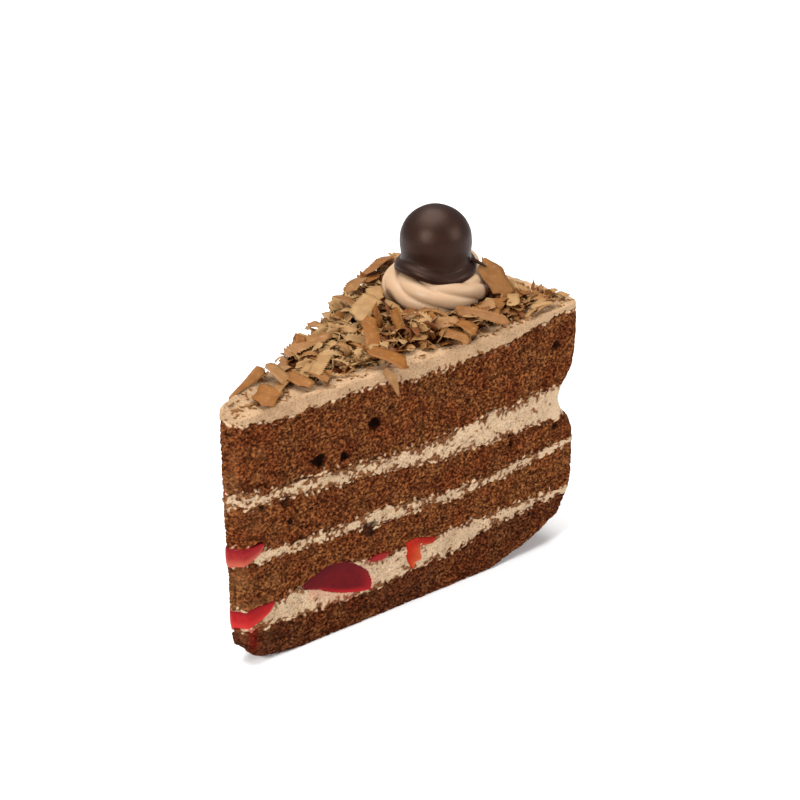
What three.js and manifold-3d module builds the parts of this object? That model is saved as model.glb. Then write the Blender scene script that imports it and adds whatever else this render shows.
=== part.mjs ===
// A slice of Black Forest cake, one twelfth of a round layer cake: four chocolate sponges with
// cream and cherries between them, an icing of cream, a heap of chocolate shavings, and a piped
// rosette that carries a chocolate-dipped cherry.
// Millimetres, +Z up. The blunt tip faces -Y and the rounded rim +Y; the slice stands on its base.

import * as THREE from "three";
import { mergeVertices } from "three/addons/utils/BufferGeometryUtils.js";
import Module from "manifold-3d";

const wasm = await Module();
wasm.setup();

// ---------------------------------------------------------------- driving dimensions

const SLICE_ANGLE = Math.PI / 6; // twelve slices to the cake
const HALF_ANGLE = SLICE_ANGLE / 2;
const TIP_CUT = { right: 10.8, left: 9.4 }; // from the cake's axis to the blunt tip, along each cut face
const TIP_CORNER = 1.2; // how much of each side the tip's worn corners take
const RIM_CORNER = 2.6; // the same at the corners between a cut face and the rim
const AXIS_Y = -70.45; // the cake's own axis, seen from the middle of the slice
const GAP = 0.3; // between pieces that touch
const MIDDLE = 82; // a point well inside the slice, this far from the cake's axis

const ROSETTE = { x: -4.6, y: 107.6, ring: 11.8, tube: 4.6, turns: 1.35, rise: 4, ridges: 6, bed: 7.2 };
const ROPE_START = Math.PI * 0.88; // where the rope of cream begins, turning clockwise from above
const ROPE_TWIST = 3;
const BALL = { x: -4, y: 107, z: 97.1, radius: 10.8 };
// The ball's outline: [distance from its axis, height], in ball radii, from the top down.
const BALL_OUTLINE = [
  [0.34, 0.94], [0.64, 0.77], [0.87, 0.5], [0.99, 0.17], [0.985, -0.12], [0.965, -0.27], [1.0, -0.4],
  [1.08, -0.55], [1.13, -0.74], [1.1, -0.91], [0.9, -1.0],
];
const STRAND_TURN = Math.PI * 0.07; // where the thread of chocolate leaves the ball's foot

const SHAVING_THICKNESS = 0.7;
const SHAVING_STEPS = 2;
const SHAVING_COUNT = 55;
const HEAP_START = 31; // where the heap begins, from the cake's axis

// How deep the heap of shavings is, and how wide the icing left bare beside the right-hand face,
// against the distance from the cake's axis.
const HEAP_DEPTH = through([
  [32, 0], [42, 0.3], [48, 1.8], [62, 1.6], [74, 2.2],
  [86, 3.8], [98, 4.2], [114, 3.4], [121, 1.6], [128, 0.4],
]);
const BARE_STRIP = through([
  [32, 3], [40, 1.6], [50, 2.2], [60, 3.4], [78, 2.2], [90, 1], [100, 1.6], [114, 1.6], [130, 2.4],
]);

// The largest shavings, laid by hand: where each begins and ends, from the cake's axis and the
// base, then its width, its roll about its length in degrees, and how far its middle is raised.
const LARGE_SHAVINGS = [
  [6.7, 63.8, 79.4, 1.4, 67.9, 86, 4.6, 10, -0.4],
  [9.6, 59.6, 81.3, 20, 62.7, 79.2, 5, -18, 0.4],
  [15.6, 87.7, 83.4, 25.2, 107.8, 81.2, 4.4, 24, 1.4],
  [17.2, 113.4, 80.8, 9.6, 119.6, 88.4, 8.4, 10, 0.6],
  [-6.1, 72.5, 83, -9.1, 84.2, 85.4, 8, 14, 0.6],
  [-18.7, 78.7, 84.6, -10.5, 78.9, 82.6, 5, -14, 0.5],
  [18.7, 98.1, 81.5, 21.2, 108.4, 83, 6.5, 30, 1],
  [2.6, 37.2, 79.2, -4, 57, 80, 4.6, -10, 0.4],
  [-9.5, 45, 80.4, -7.7, 61.8, 80.8, 5.5, 8, 0.8],
  [-2.6, 16, 79, -7.2, 35, 79.6, 5, 34, 0.4],
  [-3.6, 13, 78.4, -2.6, 19.5, 79.4, 4, 12, 0.4],
  [-1.8, 28.6, 79, 5.4, 20.2, 77.9, 9, 0, 0.2],
  [2.6, 25, 78.6, -1.6, 38, 78.9, 4.6, -8, 0.5],
  [-18.9, 84.6, 84.2, -22, 94.9, 84.4, 6, -12, 0.8],
  [-25.3, 101.4, 83.2, -28, 115.9, 83.6, 6, -14, 0.6],
  [23.9, 112.9, 81.4, 30.5, 122.1, 81.8, 5, 10, 0.5],
  [24.6, 126, 81.4, 33.2, 124.2, 82.1, 4.4, 8, 0.4],
  [27.4, 119, 81.2, 32.4, 120.8, 82.2, 4, -10, 0.4],
  [1.8, 80.3, 85.4, 7.8, 76.6, 80.4, 4, 60, 0.6],
  [10.6, 81.2, 82.2, 7.6, 88.8, 83.4, 4.6, 30, 1],
];

// The cake's radius at each height, bulging at the sponges and pulled in at the thick cream.
const RIM = through([
  [9, 125.2], [14, 128.4], [22, 131.2], [30, 131.6], [37, 131.3], [42, 129.6], [46, 126.7],
  [50, 125.2], [53.5, 126.2], [58, 129.8], [64, 131.4], [72, 131.8], [80, 131.4],
]);

// How far the blunt tip is set back at each height.
const TIP_SETBACK = through([
  [0, 4], [5, 1.5], [13, 0.8], [18, 0], [50, 0], [54, 0.8], [58, 0], [70, 0], [77, 0.9],
]);

// The height of each seam against the distance from the cake's axis, on the right-hand cut face.
const SEAMS = {
  base: through([
    [11, 3.6], [14, 1.9], [18, 0.6], [23, 0], [96, 0], [105, 1.9], [115, 5.2], [123, 9.2], [131, 13],
  ]),
  lowerCreamUnder: through([
    [12, 11.9], [20, 11.3], [36, 10.4], [55, 9.6], [70, 11], [85, 11.6], [99, 15.4], [113, 16.3], [131, 17],
  ]),
  lowerCreamOver: through([
    [12, 18.4], [20, 17.6], [30, 20], [44, 21], [61, 18.6], [80, 19.3], [104, 19.2], [131, 18.4],
  ]),
  middleCreamUnder: through([
    [12, 33.2], [20, 32.2], [47, 32], [60, 30], [75, 30.8], [85, 29.2], [104, 31], [131, 34.3],
  ]),
  middleCreamOver: through([
    [12, 37.2], [20, 35], [40, 34], [57, 35.1], [66, 33.5], [90, 32], [104, 33.1], [131, 35.6],
  ]),
  upperCreamUnder: through([
    [12, 50.6], [23, 50], [31, 48.6], [48, 47.6], [66, 45.5], [85, 43.8], [114, 43.8], [131, 45.2],
  ]),
  upperCreamOver: through([
    [12, 54.6], [22, 52.9], [45, 52.2], [64, 50.6], [80, 51], [95, 52.4], [114, 53.6], [131, 55],
  ]),
  icingUnder: through([
    [12, 75.4], [26, 73.6], [45, 74.2], [59, 74.6], [66, 73.2],
    [85, 72.6], [106, 74.3], [118, 77.2], [131, 78.6],
  ]),
  top: through([[12, 77], [28, 78], [60, 77.5], [90, 77.8], [108, 78.2], [118, 79.3], [131, 80.4]]),
};
const SEAM_WANDER = 1.3; // how far a seam strays from that on its way to the left-hand face
const SEAM_RELIEF = 0.3; // how far the slice's side strays in and out at a seam
const SEAM_SEED = Object.fromEntries(Object.keys(SEAMS).map((name, i) => [name, i]));
const RIM_SEEN = 127; // where a seam meets the rim
const TOP_ROUND = 0.9; // how far the icing's top edge is drawn in
const BASE_ROUND = 0.5; // how far the bottom edge is worn in

// ---------------------------------------------------------------- helpers

// A smooth function through [x, y] points, flat beyond both ends and with no overshoot between them.
function through(points) {
  const secant = points.slice(1).map(([x, y], i) => (y - points[i][1]) / (x - points[i][0]));
  const slope = points.map((_, i) => {
    const before = secant[i - 1] ?? secant[i];
    const after = secant[i] ?? before;
    return before * after <= 0 ? 0 : (2 * before * after) / (before + after);
  });
  return (x) => {
    if (x <= points[0][0]) return points[0][1];
    const i = points.findIndex(([end]) => x <= end) - 1;
    if (i < 0) return points[points.length - 1][1];
    const span = points[i + 1][0] - points[i][0];
    const t = (x - points[i][0]) / span;
    const [y0, y1] = [points[i][1], points[i + 1][1]];
    return (
      y0 * (1 + 2 * t) * (1 - t) ** 2 + y1 * t * t * (3 - 2 * t) +
      span * (slope[i] * t * (1 - t) ** 2 - slope[i + 1] * t * t * (1 - t))
    );
  };
}

// Gentle uneven waves between -1 and 1, about 20 and 8 mm long.
function ripple(a, b, seed) {
  const long = Math.sin(0.31 * a + 1.9 * seed) * Math.cos(0.27 * b + 2.3 * seed);
  const short = Math.sin(0.83 * a - 0.61 * b + 4.1 * seed);
  return (long + 0.5 * short) / 1.5;
}

// Repeatable draws between 0 and 1 (mulberry32).
function seededDraw(seed) {
  let state = seed;
  return () => {
    state = (state + 0x6d2b79f5) | 0;
    let t = Math.imul(state ^ (state >>> 15), 1 | state);
    t = (t + Math.imul(t ^ (t >>> 7), 61 | t)) ^ t;
    return ((t ^ (t >>> 14)) >>> 0) / 4294967296;
  };
}

const smoothStep = (t) => THREE.MathUtils.smoothstep(t, 0, 1);
const degrees = THREE.MathUtils.degToRad;
const polar = (radius, angle) => new THREE.Vector2(radius * Math.sin(angle), radius * Math.cos(angle));

// A closed solid through rings of points, all with as many points, closed by a point at each end.
// Each four-cornered patch is split along its shorter diagonal, so that facing seams split alike.
function ringSolid(first, rings, last) {
  const points = [first, ...rings.flat(), last];
  const count = rings[0].length;
  const index = [];
  const at = (ring, i) => 1 + ring * count + (i % count);
  const apart = (a, b) => points[a].distanceTo(points[b]);
  for (let i = 0; i < count; i++) {
    index.push(0, at(0, i + 1), at(0, i));
    for (let ring = 0; ring + 1 < rings.length; ring++) {
      const [a, b, c, d] = [at(ring, i), at(ring, i + 1), at(ring + 1, i + 1), at(ring + 1, i)];
      if (apart(b, d) < apart(a, c)) index.push(a, b, d, b, c, d);
      else index.push(a, b, c, a, c, d);
    }
    index.push(points.length - 1, at(rings.length - 1, i), at(rings.length - 1, i + 1));
  }
  const geometry = new THREE.BufferGeometry().setFromPoints(points);
  geometry.setIndex(index);
  return geometry;
}

function toManifold(geometry) {
  const bare = geometry.clone();
  bare.deleteAttribute("normal");
  bare.deleteAttribute("uv");
  const merged = mergeVertices(bare, 1e-3);
  return new wasm.Manifold(
    new wasm.Mesh({
      numProp: 3,
      vertProperties: new Float32Array(merged.attributes.position.array),
      triVerts: new Uint32Array(merged.index.array),
    }),
  );
}

function toGeometry(manifold) {
  const { vertProperties, triVerts, numProp } = manifold.getMesh();
  const geometry = new THREE.BufferGeometry();
  const points = [];
  for (let i = 0; i < vertProperties.length; i += numProp) {
    points.push(new THREE.Vector3(...vertProperties.subarray(i, i + 3)));
  }
  geometry.setFromPoints(points);
  geometry.setIndex([...triVerts]);
  return geometry;
}

// The largest single body of a solid, with scraps dropped and any air sealed inside it filled.
function largestBody(manifold) {
  const bodies = toManifold(toGeometry(manifold)).decompose();
  const largest = bodies.reduce((best, body) => (body.volume() > best.volume() ? body : best));
  return bodies.length > 1 ? largestBody(largest) : largest;
}

// ---------------------------------------------------------------- the slice's outline and layers

const FACE_STEPS = 17;
const RIM_STEPS = 5;
const CORNER_STEPS = 3;

// One half of the slice's plan at a height, from the middle of the tip to the middle of the rim.
function halfOutline(height, side) {
  const rim = RIM(height);
  const tipCut = TIP_CUT[side] + TIP_SETBACK(height);
  const tipMiddle = ((TIP_CUT.left + TIP_CUT.right) / 2 + TIP_SETBACK(height)) * Math.cos(HALF_ANGLE);
  const tipCorner = polar(tipCut, HALF_ANGLE);
  const rimCorner = polar(rim, HALF_ANGLE);
  const corner = (from, control, to) =>
    new THREE.QuadraticBezierCurve(from, control, to).getPoints(CORNER_STEPS);
  const faceStart = polar(tipCut + TIP_CORNER, HALF_ANGLE);
  const faceEnd = polar(rim - RIM_CORNER, HALF_ANGLE);
  const tipStart = new THREE.Vector2(tipCorner.x - TIP_CORNER, tipCorner.y);
  const arcAngle = HALF_ANGLE - RIM_CORNER / rim;
  const face = [];
  for (let i = 1; i < FACE_STEPS; i++) face.push(faceStart.clone().lerp(faceEnd, i / FACE_STEPS));
  const arc = [];
  for (let i = 1; i <= RIM_STEPS; i++) arc.push(polar(rim, arcAngle * (1 - i / RIM_STEPS)));
  return [
    new THREE.Vector2(0, tipMiddle),
    ...corner(tipStart, tipCorner, faceStart),
    ...face,
    ...corner(faceEnd, rimCorner, polar(rim, arcAngle)),
    ...arc,
  ];
}

// The whole plan, anticlockwise from above, starting at the middle of the tip.
function outline(height) {
  const right = halfOutline(height, "right");
  const left = halfOutline(height, "left").slice(1, -1).map((p) => new THREE.Vector2(-p.x, p.y));
  return [...right, ...left.reverse()];
}

// A seam's height over a point of the plan, the more wavy the further from the right-hand face.
function seamHeight(name, point) {
  if (name === "base") return SEAMS.base(point.y / Math.cos(HALF_ANGLE));
  if (name === "top") return topHeight(point);
  const radius = point.length();
  const side = 0.5 - Math.atan2(point.x, point.y) / SLICE_ANGLE;
  return SEAMS[name](radius) + SEAM_WANDER * side * ripple(radius, 12 * side, SEAM_SEED[name]);
}

// The plan of the slice at a height, with its side straying in and out of the true outline.
function strayingPlan(height, seed, relief, grow = 0) {
  const plan = outline(height);
  return plan.map((p, i) => {
    const along = plan[(i + 1) % plan.length].clone().sub(plan.at(i - 1));
    const outward = new THREE.Vector2(along.y, -along.x).normalize();
    const stray = relief * ripple(3 * p.length(), 5 * height + 9 * Math.sign(p.x), seed);
    return p.clone().addScaledVector(outward, stray + grow);
  });
}

// A layer between two seams. rows are the shares of its height at which its side has a ring between
// its seams, and relief is how far those stray. Facing seams have the same plan, a gap apart.
function layer({ under, over, seed, rows, relief }, grow = 0) {
  const middle = new THREE.Vector2(0, MIDDLE);
  const lowest = (p) => seamHeight(under, p) + (under === "base" ? 0 : GAP / 2) - grow;
  const highest = (p) => seamHeight(over, p) - (over === "top" ? 0 : GAP / 2) + grow;
  const ring = (plan, share, scale = 1) =>
    plan.map((p) => {
      const q = p.clone().lerp(middle, 1 - scale);
      return new THREE.Vector3(q.x, q.y, THREE.MathUtils.lerp(lowest(q), highest(q), share));
    });
  const [lowRim, highRim] = [SEAMS[under](RIM_SEEN), SEAMS[over](RIM_SEEN)];
  const lowGrow = grow - (under === "base" ? BASE_ROUND : 0);
  const highGrow = grow - (over === "top" ? TOP_ROUND : 0);
  const lowPlan = strayingPlan(lowRim, SEAM_SEED[under], SEAM_RELIEF, lowGrow);
  const highPlan = strayingPlan(highRim, SEAM_SEED[over], SEAM_RELIEF, highGrow);
  const rings = [ring(lowPlan, 0)];
  for (const share of rows) {
    const height = THREE.MathUtils.lerp(lowRim, highRim, share);
    rings.push(ring(strayingPlan(height, seed, relief, grow), share));
  }
  rings.push(ring(highPlan, 1));
  if (under === "base") rings.unshift(ring(lowPlan, 0, 0.4));
  if (over === "top") rings.push(ring(highPlan, 1, 0.66), ring(highPlan, 1, 0.33));
  const pole = (height) => new THREE.Vector3(middle.x, middle.y, height(middle));
  return ringSolid(pole(lowest), rings, pole(highest));
}

function topHeight(p) {
  return SEAMS.top(p.length()) + 0.35 * ripple(p.x * 2, p.y * 1.5, 9);
}

const SPONGE_ROWS = { rows: [0.33, 0.67], relief: 0.45 };
const TALL_SPONGE_ROWS = { rows: [0.25, 0.5, 0.75], relief: 0.45 };
const CREAM_ROWS = { rows: [0.5], relief: 0.35 };
const LAYERS = {
  sponge_bottom: { under: "base", over: "lowerCreamUnder", seed: 20, ...SPONGE_ROWS },
  cream_lower: { under: "lowerCreamUnder", over: "lowerCreamOver", seed: 21, ...CREAM_ROWS },
  sponge_lower: { under: "lowerCreamOver", over: "middleCreamUnder", seed: 22, ...SPONGE_ROWS },
  cream_middle: { under: "middleCreamUnder", over: "middleCreamOver", seed: 23, ...CREAM_ROWS, rows: [] },
  sponge_upper: { under: "middleCreamOver", over: "upperCreamUnder", seed: 24, ...SPONGE_ROWS },
  cream_upper: { under: "upperCreamUnder", over: "upperCreamOver", seed: 25, ...CREAM_ROWS },
  sponge_top: { under: "upperCreamOver", over: "icingUnder", seed: 26, ...TALL_SPONGE_ROWS },
  icing: { under: "icingUnder", over: "top", seed: 27, ...CREAM_ROWS, rows: [0.35, 0.8] },
};

// ---------------------------------------------------------------- cherries in the cream

// A point of a cut face: a distance from the cake's axis, a height, and a depth behind the face.
function onFace(side, radius, height, depth) {
  const plan = polar(radius, side * HALF_ANGLE);
  const inward = new THREE.Vector2(-side * Math.cos(HALF_ANGLE), Math.sin(HALF_ANGLE));
  plan.addScaledVector(inward, depth);
  return new THREE.Vector3(plan.x, plan.y, height);
}

// An egg whose half axes run along the face, into it and upwards, tipped by tilt in the face.
function egg({ side = 1, at, half, tilt = 0, centre }, grow = 0) {
  const geometry = new THREE.SphereGeometry(1, 13, 7);
  geometry.scale(half[0] + grow, half[1] + grow, half[2] + grow);
  geometry.rotateY(tilt);
  geometry.rotateZ(Math.PI / 2 - side * HALF_ANGLE);
  const place = centre ?? onFace(side, ...at);
  return toManifold(geometry.translate(place.x, place.y, place.z));
}

// A big block that keeps what is above a plane through a point of the face, tipped like the egg.
function aboveFlat({ side = 1, at, tilt = 0 }, drop) {
  const geometry = new THREE.BoxGeometry(60, 60, 30).translate(0, 0, 15 - drop);
  geometry.rotateY(tilt);
  geometry.rotateZ(Math.PI / 2 - side * HALF_ANGLE);
  const place = onFace(side, ...at);
  return toManifold(geometry.translate(place.x, place.y, place.z));
}

// The space inside the slice's outline, grown by a margin, with a ring at each height.
function sliceBlock(margin, heights) {
  const ring = (z) =>
    outline(z).map((p, i, plan) => {
      const tangent = plan[(i + 1) % plan.length].clone().sub(plan.at(i - 1));
      return new THREE.Vector3(
        p.x + (margin * tangent.y) / tangent.length(),
        p.y - (margin * tangent.x) / tangent.length(),
        z,
      );
    });
  const pole = (z) => new THREE.Vector3(0, MIDDLE, z);
  return toManifold(ringSolid(pole(heights[0]), heights.map(ring), pole(heights.at(-1))));
}

const MAIN_CHERRY = { at: [41.8, 14.2, 1], half: [12.8, 9, 9.4], tilt: degrees(17) };
const CHERRY_WEDGE = { at: [74.4, 15.4, 0], half: [8.7, 5, 5.8], tilt: degrees(8) };
const CREAM_IN_WEDGE = { at: [77.6, 13.9, 0], half: [9.2, 9, 5.3], tilt: degrees(8) };
const LEFT_CHERRY = { side: -1, at: [68, 13.4, 1], half: [10.5, 8, 7.6], tilt: degrees(-6) };
// Air holes in the top sponge's right-hand face: distance from the cake's axis, height, radius.
const AIR_HOLES = [[56.3, 62.5, 2.1], [37.1, 57, 2], [45.5, 55.6, 1.4], [123, 68, 1.6]];

function airHoles() {
  return AIR_HOLES.map(([radius, height, size]) => {
    const place = onFace(1, radius, height, 0.2);
    return toManifold(new THREE.IcosahedronGeometry(size, 0).translate(place.x, place.y, place.z));
  });
}

const CHERRY_BITS = {
  cherry_sliver: { at: [56, 20, 0.6], half: [3, 2.6, 1.5], tilt: degrees(4) },
  cherry_tip_lower: { centre: new THREE.Vector3(0.5, 12.5, 15.2), half: [8.6, 8.2, 2.9] },
  cherry_tip_middle: { centre: new THREE.Vector3(-0.5, 12, 35.2), half: [6.6, 7, 2.1] },
  cherry_tip_upper: { centre: new THREE.Vector3(-3.6, 13, 53.4), half: [3, 2.6, 1.7] },
};

// Each cherry at its true size (grow 0), or as the cutter that makes room for it (grow GAP).
function cherries(grow) {
  const made = {
    cherry_main: egg(MAIN_CHERRY, grow).intersect(aboveFlat(MAIN_CHERRY, 1.3 + grow)),
    cherry_wedge: egg(CHERRY_WEDGE, grow).subtract(egg(CREAM_IN_WEDGE, -grow)),
    cherry_left: egg(LEFT_CHERRY, grow).intersect(aboveFlat(LEFT_CHERRY, 1.4 + grow)),
  };
  for (const [name, shape] of Object.entries(CHERRY_BITS)) made[name] = egg(shape, grow);
  return made;
}

// ---------------------------------------------------------------- rosette and chocolate-dipped cherry

// A ribbed rope of cream laid in a spiral round the ball, its end climbing over its start.
function creamRope(from, to) {
  const { x, y, ring, tube, turns, rise, ridges } = ROSETTE;
  const sectionPoints = ridges * 2;
  const steps = Math.round((to - from) * turns * 24);
  const base = topHeight(new THREE.Vector2(x, y)) + GAP;
  const rings = [];
  for (let i = 0; i <= steps; i++) {
    const share = from + ((to - from) * i) / steps;
    const turn = ROPE_START - share * turns * 2 * Math.PI;
    const climb = smoothStep((share - 0.68) / 0.22) * (1 - 0.5 * smoothStep((share - 0.93) / 0.07));
    const swell = 0.5 + 0.5 * smoothStep(share / 0.14);
    const taper = 1 - 0.3 * smoothStep((share - 0.85) / 0.15);
    const size = tube * swell * taper;
    const section = [];
    for (let k = 0; k < sectionPoints; k++) {
      const angle = (k / sectionPoints) * 2 * Math.PI + ROPE_TWIST * share;
      const reach = size * (k % 2 ? 0.84 : 1.06);
      const out = ring + 0.5 * climb + reach * Math.cos(angle);
      const up = Math.max(size * 0.9 + rise * climb + reach * Math.sin(angle), 0);
      section.push(new THREE.Vector3(x + out * Math.cos(turn), y + out * Math.sin(turn), base + up));
    }
    rings.push(section);
  }
  const middleOf = (points) =>
    points.reduce((sum, p) => sum.add(p), new THREE.Vector3()).divideScalar(points.length);
  return toManifold(ringSolid(middleOf(rings[0]), rings, middleOf(rings.at(-1))));
}

function rosette(icingRoom) {
  const { x, y, ring, bed } = ROSETTE;
  const base = topHeight(new THREE.Vector2(x, y)) + GAP;
  const cushion = new THREE.CylinderGeometry(ring, ring * 1.1, bed, 20).rotateX(Math.PI / 2);
  return creamRope(0, 0.72)
    .add(creamRope(0.68, 1))
    .add(toManifold(cushion.translate(x, y, base + bed / 2)))
    .subtract(dippedCherry(GAP))
    .subtract(icingRoom);
}

// A ball of dark chocolate whose coat has run into a thick wavy foot.
function dippedCherry(grow = 0) {
  const { x, y, z, radius } = BALL;
  const around = 24;
  const rings = BALL_OUTLINE.map(([out, up]) => {
    const ring = [];
    for (let i = 0; i < around; i++) {
      const angle = (-2 * Math.PI * i) / around;
      const foot = smoothStep((-0.35 - up) / 0.35);
      const wave = foot * (0.02 * Math.sin(3 * angle + 0.6) + 0.02 * Math.sin(5 * angle + 2));
      const reach = radius * (out + wave) + grow;
      const height = z + up * (radius + grow) - radius * foot * 0.07 * Math.cos(angle + degrees(40));
      ring.push(new THREE.Vector3(x + reach * Math.cos(angle), y + reach * Math.sin(angle), height));
    }
    return ring;
  });
  const top = new THREE.Vector3(x, y, z + radius + grow);
  const bottom = new THREE.Vector3(x, y, z + BALL_OUTLINE.at(-1)[1] * (radius + grow));
  return toManifold(ringSolid(top, rings, bottom)).add(chocolateStrand(grow));
}

// The thread of chocolate that trails from the foot over the cream.
function chocolateStrand(grow) {
  const { x, y, z, radius } = BALL;
  const strand = new THREE.SphereGeometry(1, 8, 6).scale(3 + grow, 0.75 + grow, 0.6 + grow);
  strand.rotateY(degrees(14)).rotateZ(STRAND_TURN);
  const out = new THREE.Vector3(Math.cos(STRAND_TURN), Math.sin(STRAND_TURN), 0).multiplyScalar(radius * 1.24);
  return toManifold(strand.translate(x + out.x, y + out.y, z - radius * 0.76));
}

// ---------------------------------------------------------------- chocolate shavings

// A thin bowed flake from one point to another: width across, rolled about its length, its middle
// raised by bow, and twisted along its length.
function shaving({ from, to, width, roll, bow = 0, twist = 0 }) {
  const along = to.clone().sub(from).normalize();
  const level = new THREE.Vector3(-along.y, along.x, 0).normalize();
  const rings = [];
  for (let i = 0; i <= SHAVING_STEPS; i++) {
    const share = i / SHAVING_STEPS;
    const side = level.clone().applyAxisAngle(along, roll + twist * (share - 0.5));
    const up = along.clone().cross(side).normalize();
    const arch = 4 * share * (1 - share);
    const centre = from.clone().lerp(to, share).addScaledVector(up, bow * arch);
    const half = 0.5 * width * (0.5 + 0.5 * arch);
    const corner = (a, b) =>
      centre.clone().addScaledVector(side, a * half).addScaledVector(up, (b * SHAVING_THICKNESS) / 2);
    rings.push([corner(-1, -1), corner(1, -1), corner(1, 1), corner(-1, 1)]);
  }
  const middleOf = (ring) => ring[0].clone().add(ring[2]).multiplyScalar(0.5);
  return toManifold(ringSolid(middleOf(rings[0]), rings, middleOf(rings.at(-1))));
}

const fromRightFace = (p) => p.y * Math.sin(HALF_ANGLE) - p.x * Math.cos(HALF_ANGLE);
const fromLeftFace = (p) => p.y * Math.sin(HALF_ANGLE) + p.x * Math.cos(HALF_ANGLE);

// How deep the shavings lie over a point of the plan.
function heapDepth(p) {
  const radius = p.length();
  const right = smoothStep((fromRightFace(p) - BARE_STRIP(radius)) / 7);
  const left = smoothStep((fromLeftFace(p) + 3) / 5);
  const rim = smoothStep((RIM(79) - radius + 2) / 6);
  return HEAP_DEPTH(radius) * right * left * rim * (1 + 0.2 * ripple(p.x * 3, p.y * 2, 5));
}

function scatteredShavings() {
  const draw = seededDraw(7);
  const between = (low, high) => low + (high - low) * draw();
  const laid = LARGE_SHAVINGS.map(([x1, y1, z1, x2, y2, z2, width, roll, bow]) => ({
    from: new THREE.Vector3(x1, y1, z1),
    to: new THREE.Vector3(x2, y2, z2),
    width,
    roll: degrees(roll),
    bow,
  }));
  while (laid.length < SHAVING_COUNT) {
    const plan = polar(Math.sqrt(between(34 ** 2, 128 ** 2)), HALF_ANGLE * between(-1.02, 1));
    const clear = Math.hypot(plan.x - ROSETTE.x, plan.y - ROSETTE.y) > 19;
    const standing = draw() < 0.3;
    const turn = between(0, 2 * Math.PI);
    const pitch = degrees(between(-16, 16));
    const half = between(3, 6);
    const level = Math.cos(pitch);
    const reach = new THREE.Vector3(Math.cos(turn) * level, Math.sin(turn) * level, Math.sin(pitch));
    const middle = new THREE.Vector3(plan.x, plan.y, topHeight(plan) + heapDepth(plan) + between(0.1, 0.9));
    const piece = {
      from: middle.clone().addScaledVector(reach, -half),
      to: middle.clone().addScaledVector(reach, half),
      width: between(3, 6),
      roll: degrees(standing ? between(40, 75) : between(-20, 20)),
      bow: between(-1, 2),
      twist: between(-0.6, 0.6),
    };
    if (clear && fromRightFace(plan) > BARE_STRIP(plan.length()) + 1) laid.push(piece);
  }
  return laid.map(shaving);
}

// A low mound under the shavings that everything in the heap is fused to.
function heapCore() {
  const rows = 13;
  const columns = 6;
  const plan = (row, column) => {
    const radius = THREE.MathUtils.lerp(HEAP_START, RIM(79) - 3, row / rows);
    const left = -HALF_ANGLE + 0.5 / radius;
    const right = HALF_ANGLE - (BARE_STRIP(radius) + 0.5) / radius;
    return polar(radius, THREE.MathUtils.lerp(left, right, column / columns));
  };
  const around = [];
  for (let c = 0; c <= columns; c++) around.push([0, c]);
  for (let r = 1; r <= rows; r++) around.push([r, columns]);
  for (let c = columns - 1; c >= 0; c--) around.push([rows, c]);
  for (let r = rows - 1; r > 0; r--) around.push([r, 0]);
  const middle = new THREE.Vector2(-2, 80);
  const ring = (scale, height) =>
    around.map(([r, c]) => {
      const p = plan(r, c).lerp(middle, 1 - scale);
      return new THREE.Vector3(p.x, p.y, topHeight(p) + height(p));
    });
  const low = () => -1;
  const high = (p) => GAP + 0.5 + heapDepth(p);
  const pole = (height) => new THREE.Vector3(middle.x, middle.y, topHeight(middle) + height(middle));
  const cover = [1, 0.88, 0.72, 0.5, 0.25].map((scale) => ring(scale, high));
  return toManifold(ringSolid(pole(low), [ring(0.5, low), ring(1, low), ...cover], pole(high)));
}

// The space the rosette stands in: [distance from its axis, height over the icing] up its side.
function rosetteRoom() {
  const { x, y, ring, tube } = ROSETTE;
  const reach = ring + tube;
  const side = [
    [0, -3], [reach - 0.6, -3], [reach + 0.4, 1], [reach + 0.8, 5],
    [reach - 0.2, 9], [reach - 1, 22], [0, 22],
  ];
  const geometry = new THREE.LatheGeometry(side.map(([out, up]) => new THREE.Vector2(out, up)), 20);
  geometry.rotateX(Math.PI / 2);
  return toManifold(geometry.translate(x, y, topHeight(new THREE.Vector2(x, y))));
}

function shavingsHeap(icingRoom) {
  const whole = scatteredShavings().reduce((heap, piece) => heap.add(piece), heapCore());
  return largestBody(whole.subtract(icingRoom).subtract(rosetteRoom()));
}

// ---------------------------------------------------------------- the assembled slice

const SPONGE = new THREE.MeshStandardMaterial({ color: 0x6b3f22, roughness: 0.95 });
const CREAM = new THREE.MeshStandardMaterial({ color: 0xcfa981, roughness: 0.7 });
const ICING = new THREE.MeshStandardMaterial({ color: 0xdcb78c, roughness: 0.6 });
const CHERRY = new THREE.MeshStandardMaterial({ color: 0x8e1c22, roughness: 0.25 });
const SHAVINGS = new THREE.MeshStandardMaterial({ color: 0xa5713f, roughness: 0.6 });
const DARK_CHOCOLATE = new THREE.MeshStandardMaterial({ color: 0x33201b, roughness: 0.35 });

const cake = new THREE.Group();

function addPiece(name, manifold, material) {
  const mesh = new THREE.Mesh(toGeometry(manifold), material);
  mesh.name = name;
  mesh.position.y = AXIS_Y;
  cake.add(mesh);
}

const inside = sliceBlock(0.35, [2, 6, 10, 14, 18, 50, 54, 58, 78]);
const fruit = cherries(0);
const fruitRoom = Object.values(cherries(GAP)).reduce((all, next) => all.add(next));
for (const [name, settings] of Object.entries(LAYERS)) {
  const material = name.startsWith("sponge") ? SPONGE : name === "icing" ? ICING : CREAM;
  const cutters = name === "sponge_top" ? airHoles() : [];
  const solid = cutters.reduce((all, hole) => all.subtract(hole), toManifold(layer(settings)));
  addPiece(name, largestBody(solid.subtract(fruitRoom)), material);
}
for (const [name, solid] of Object.entries(fruit)) {
  addPiece(name, largestBody(solid.intersect(inside)), CHERRY);
}

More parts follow.
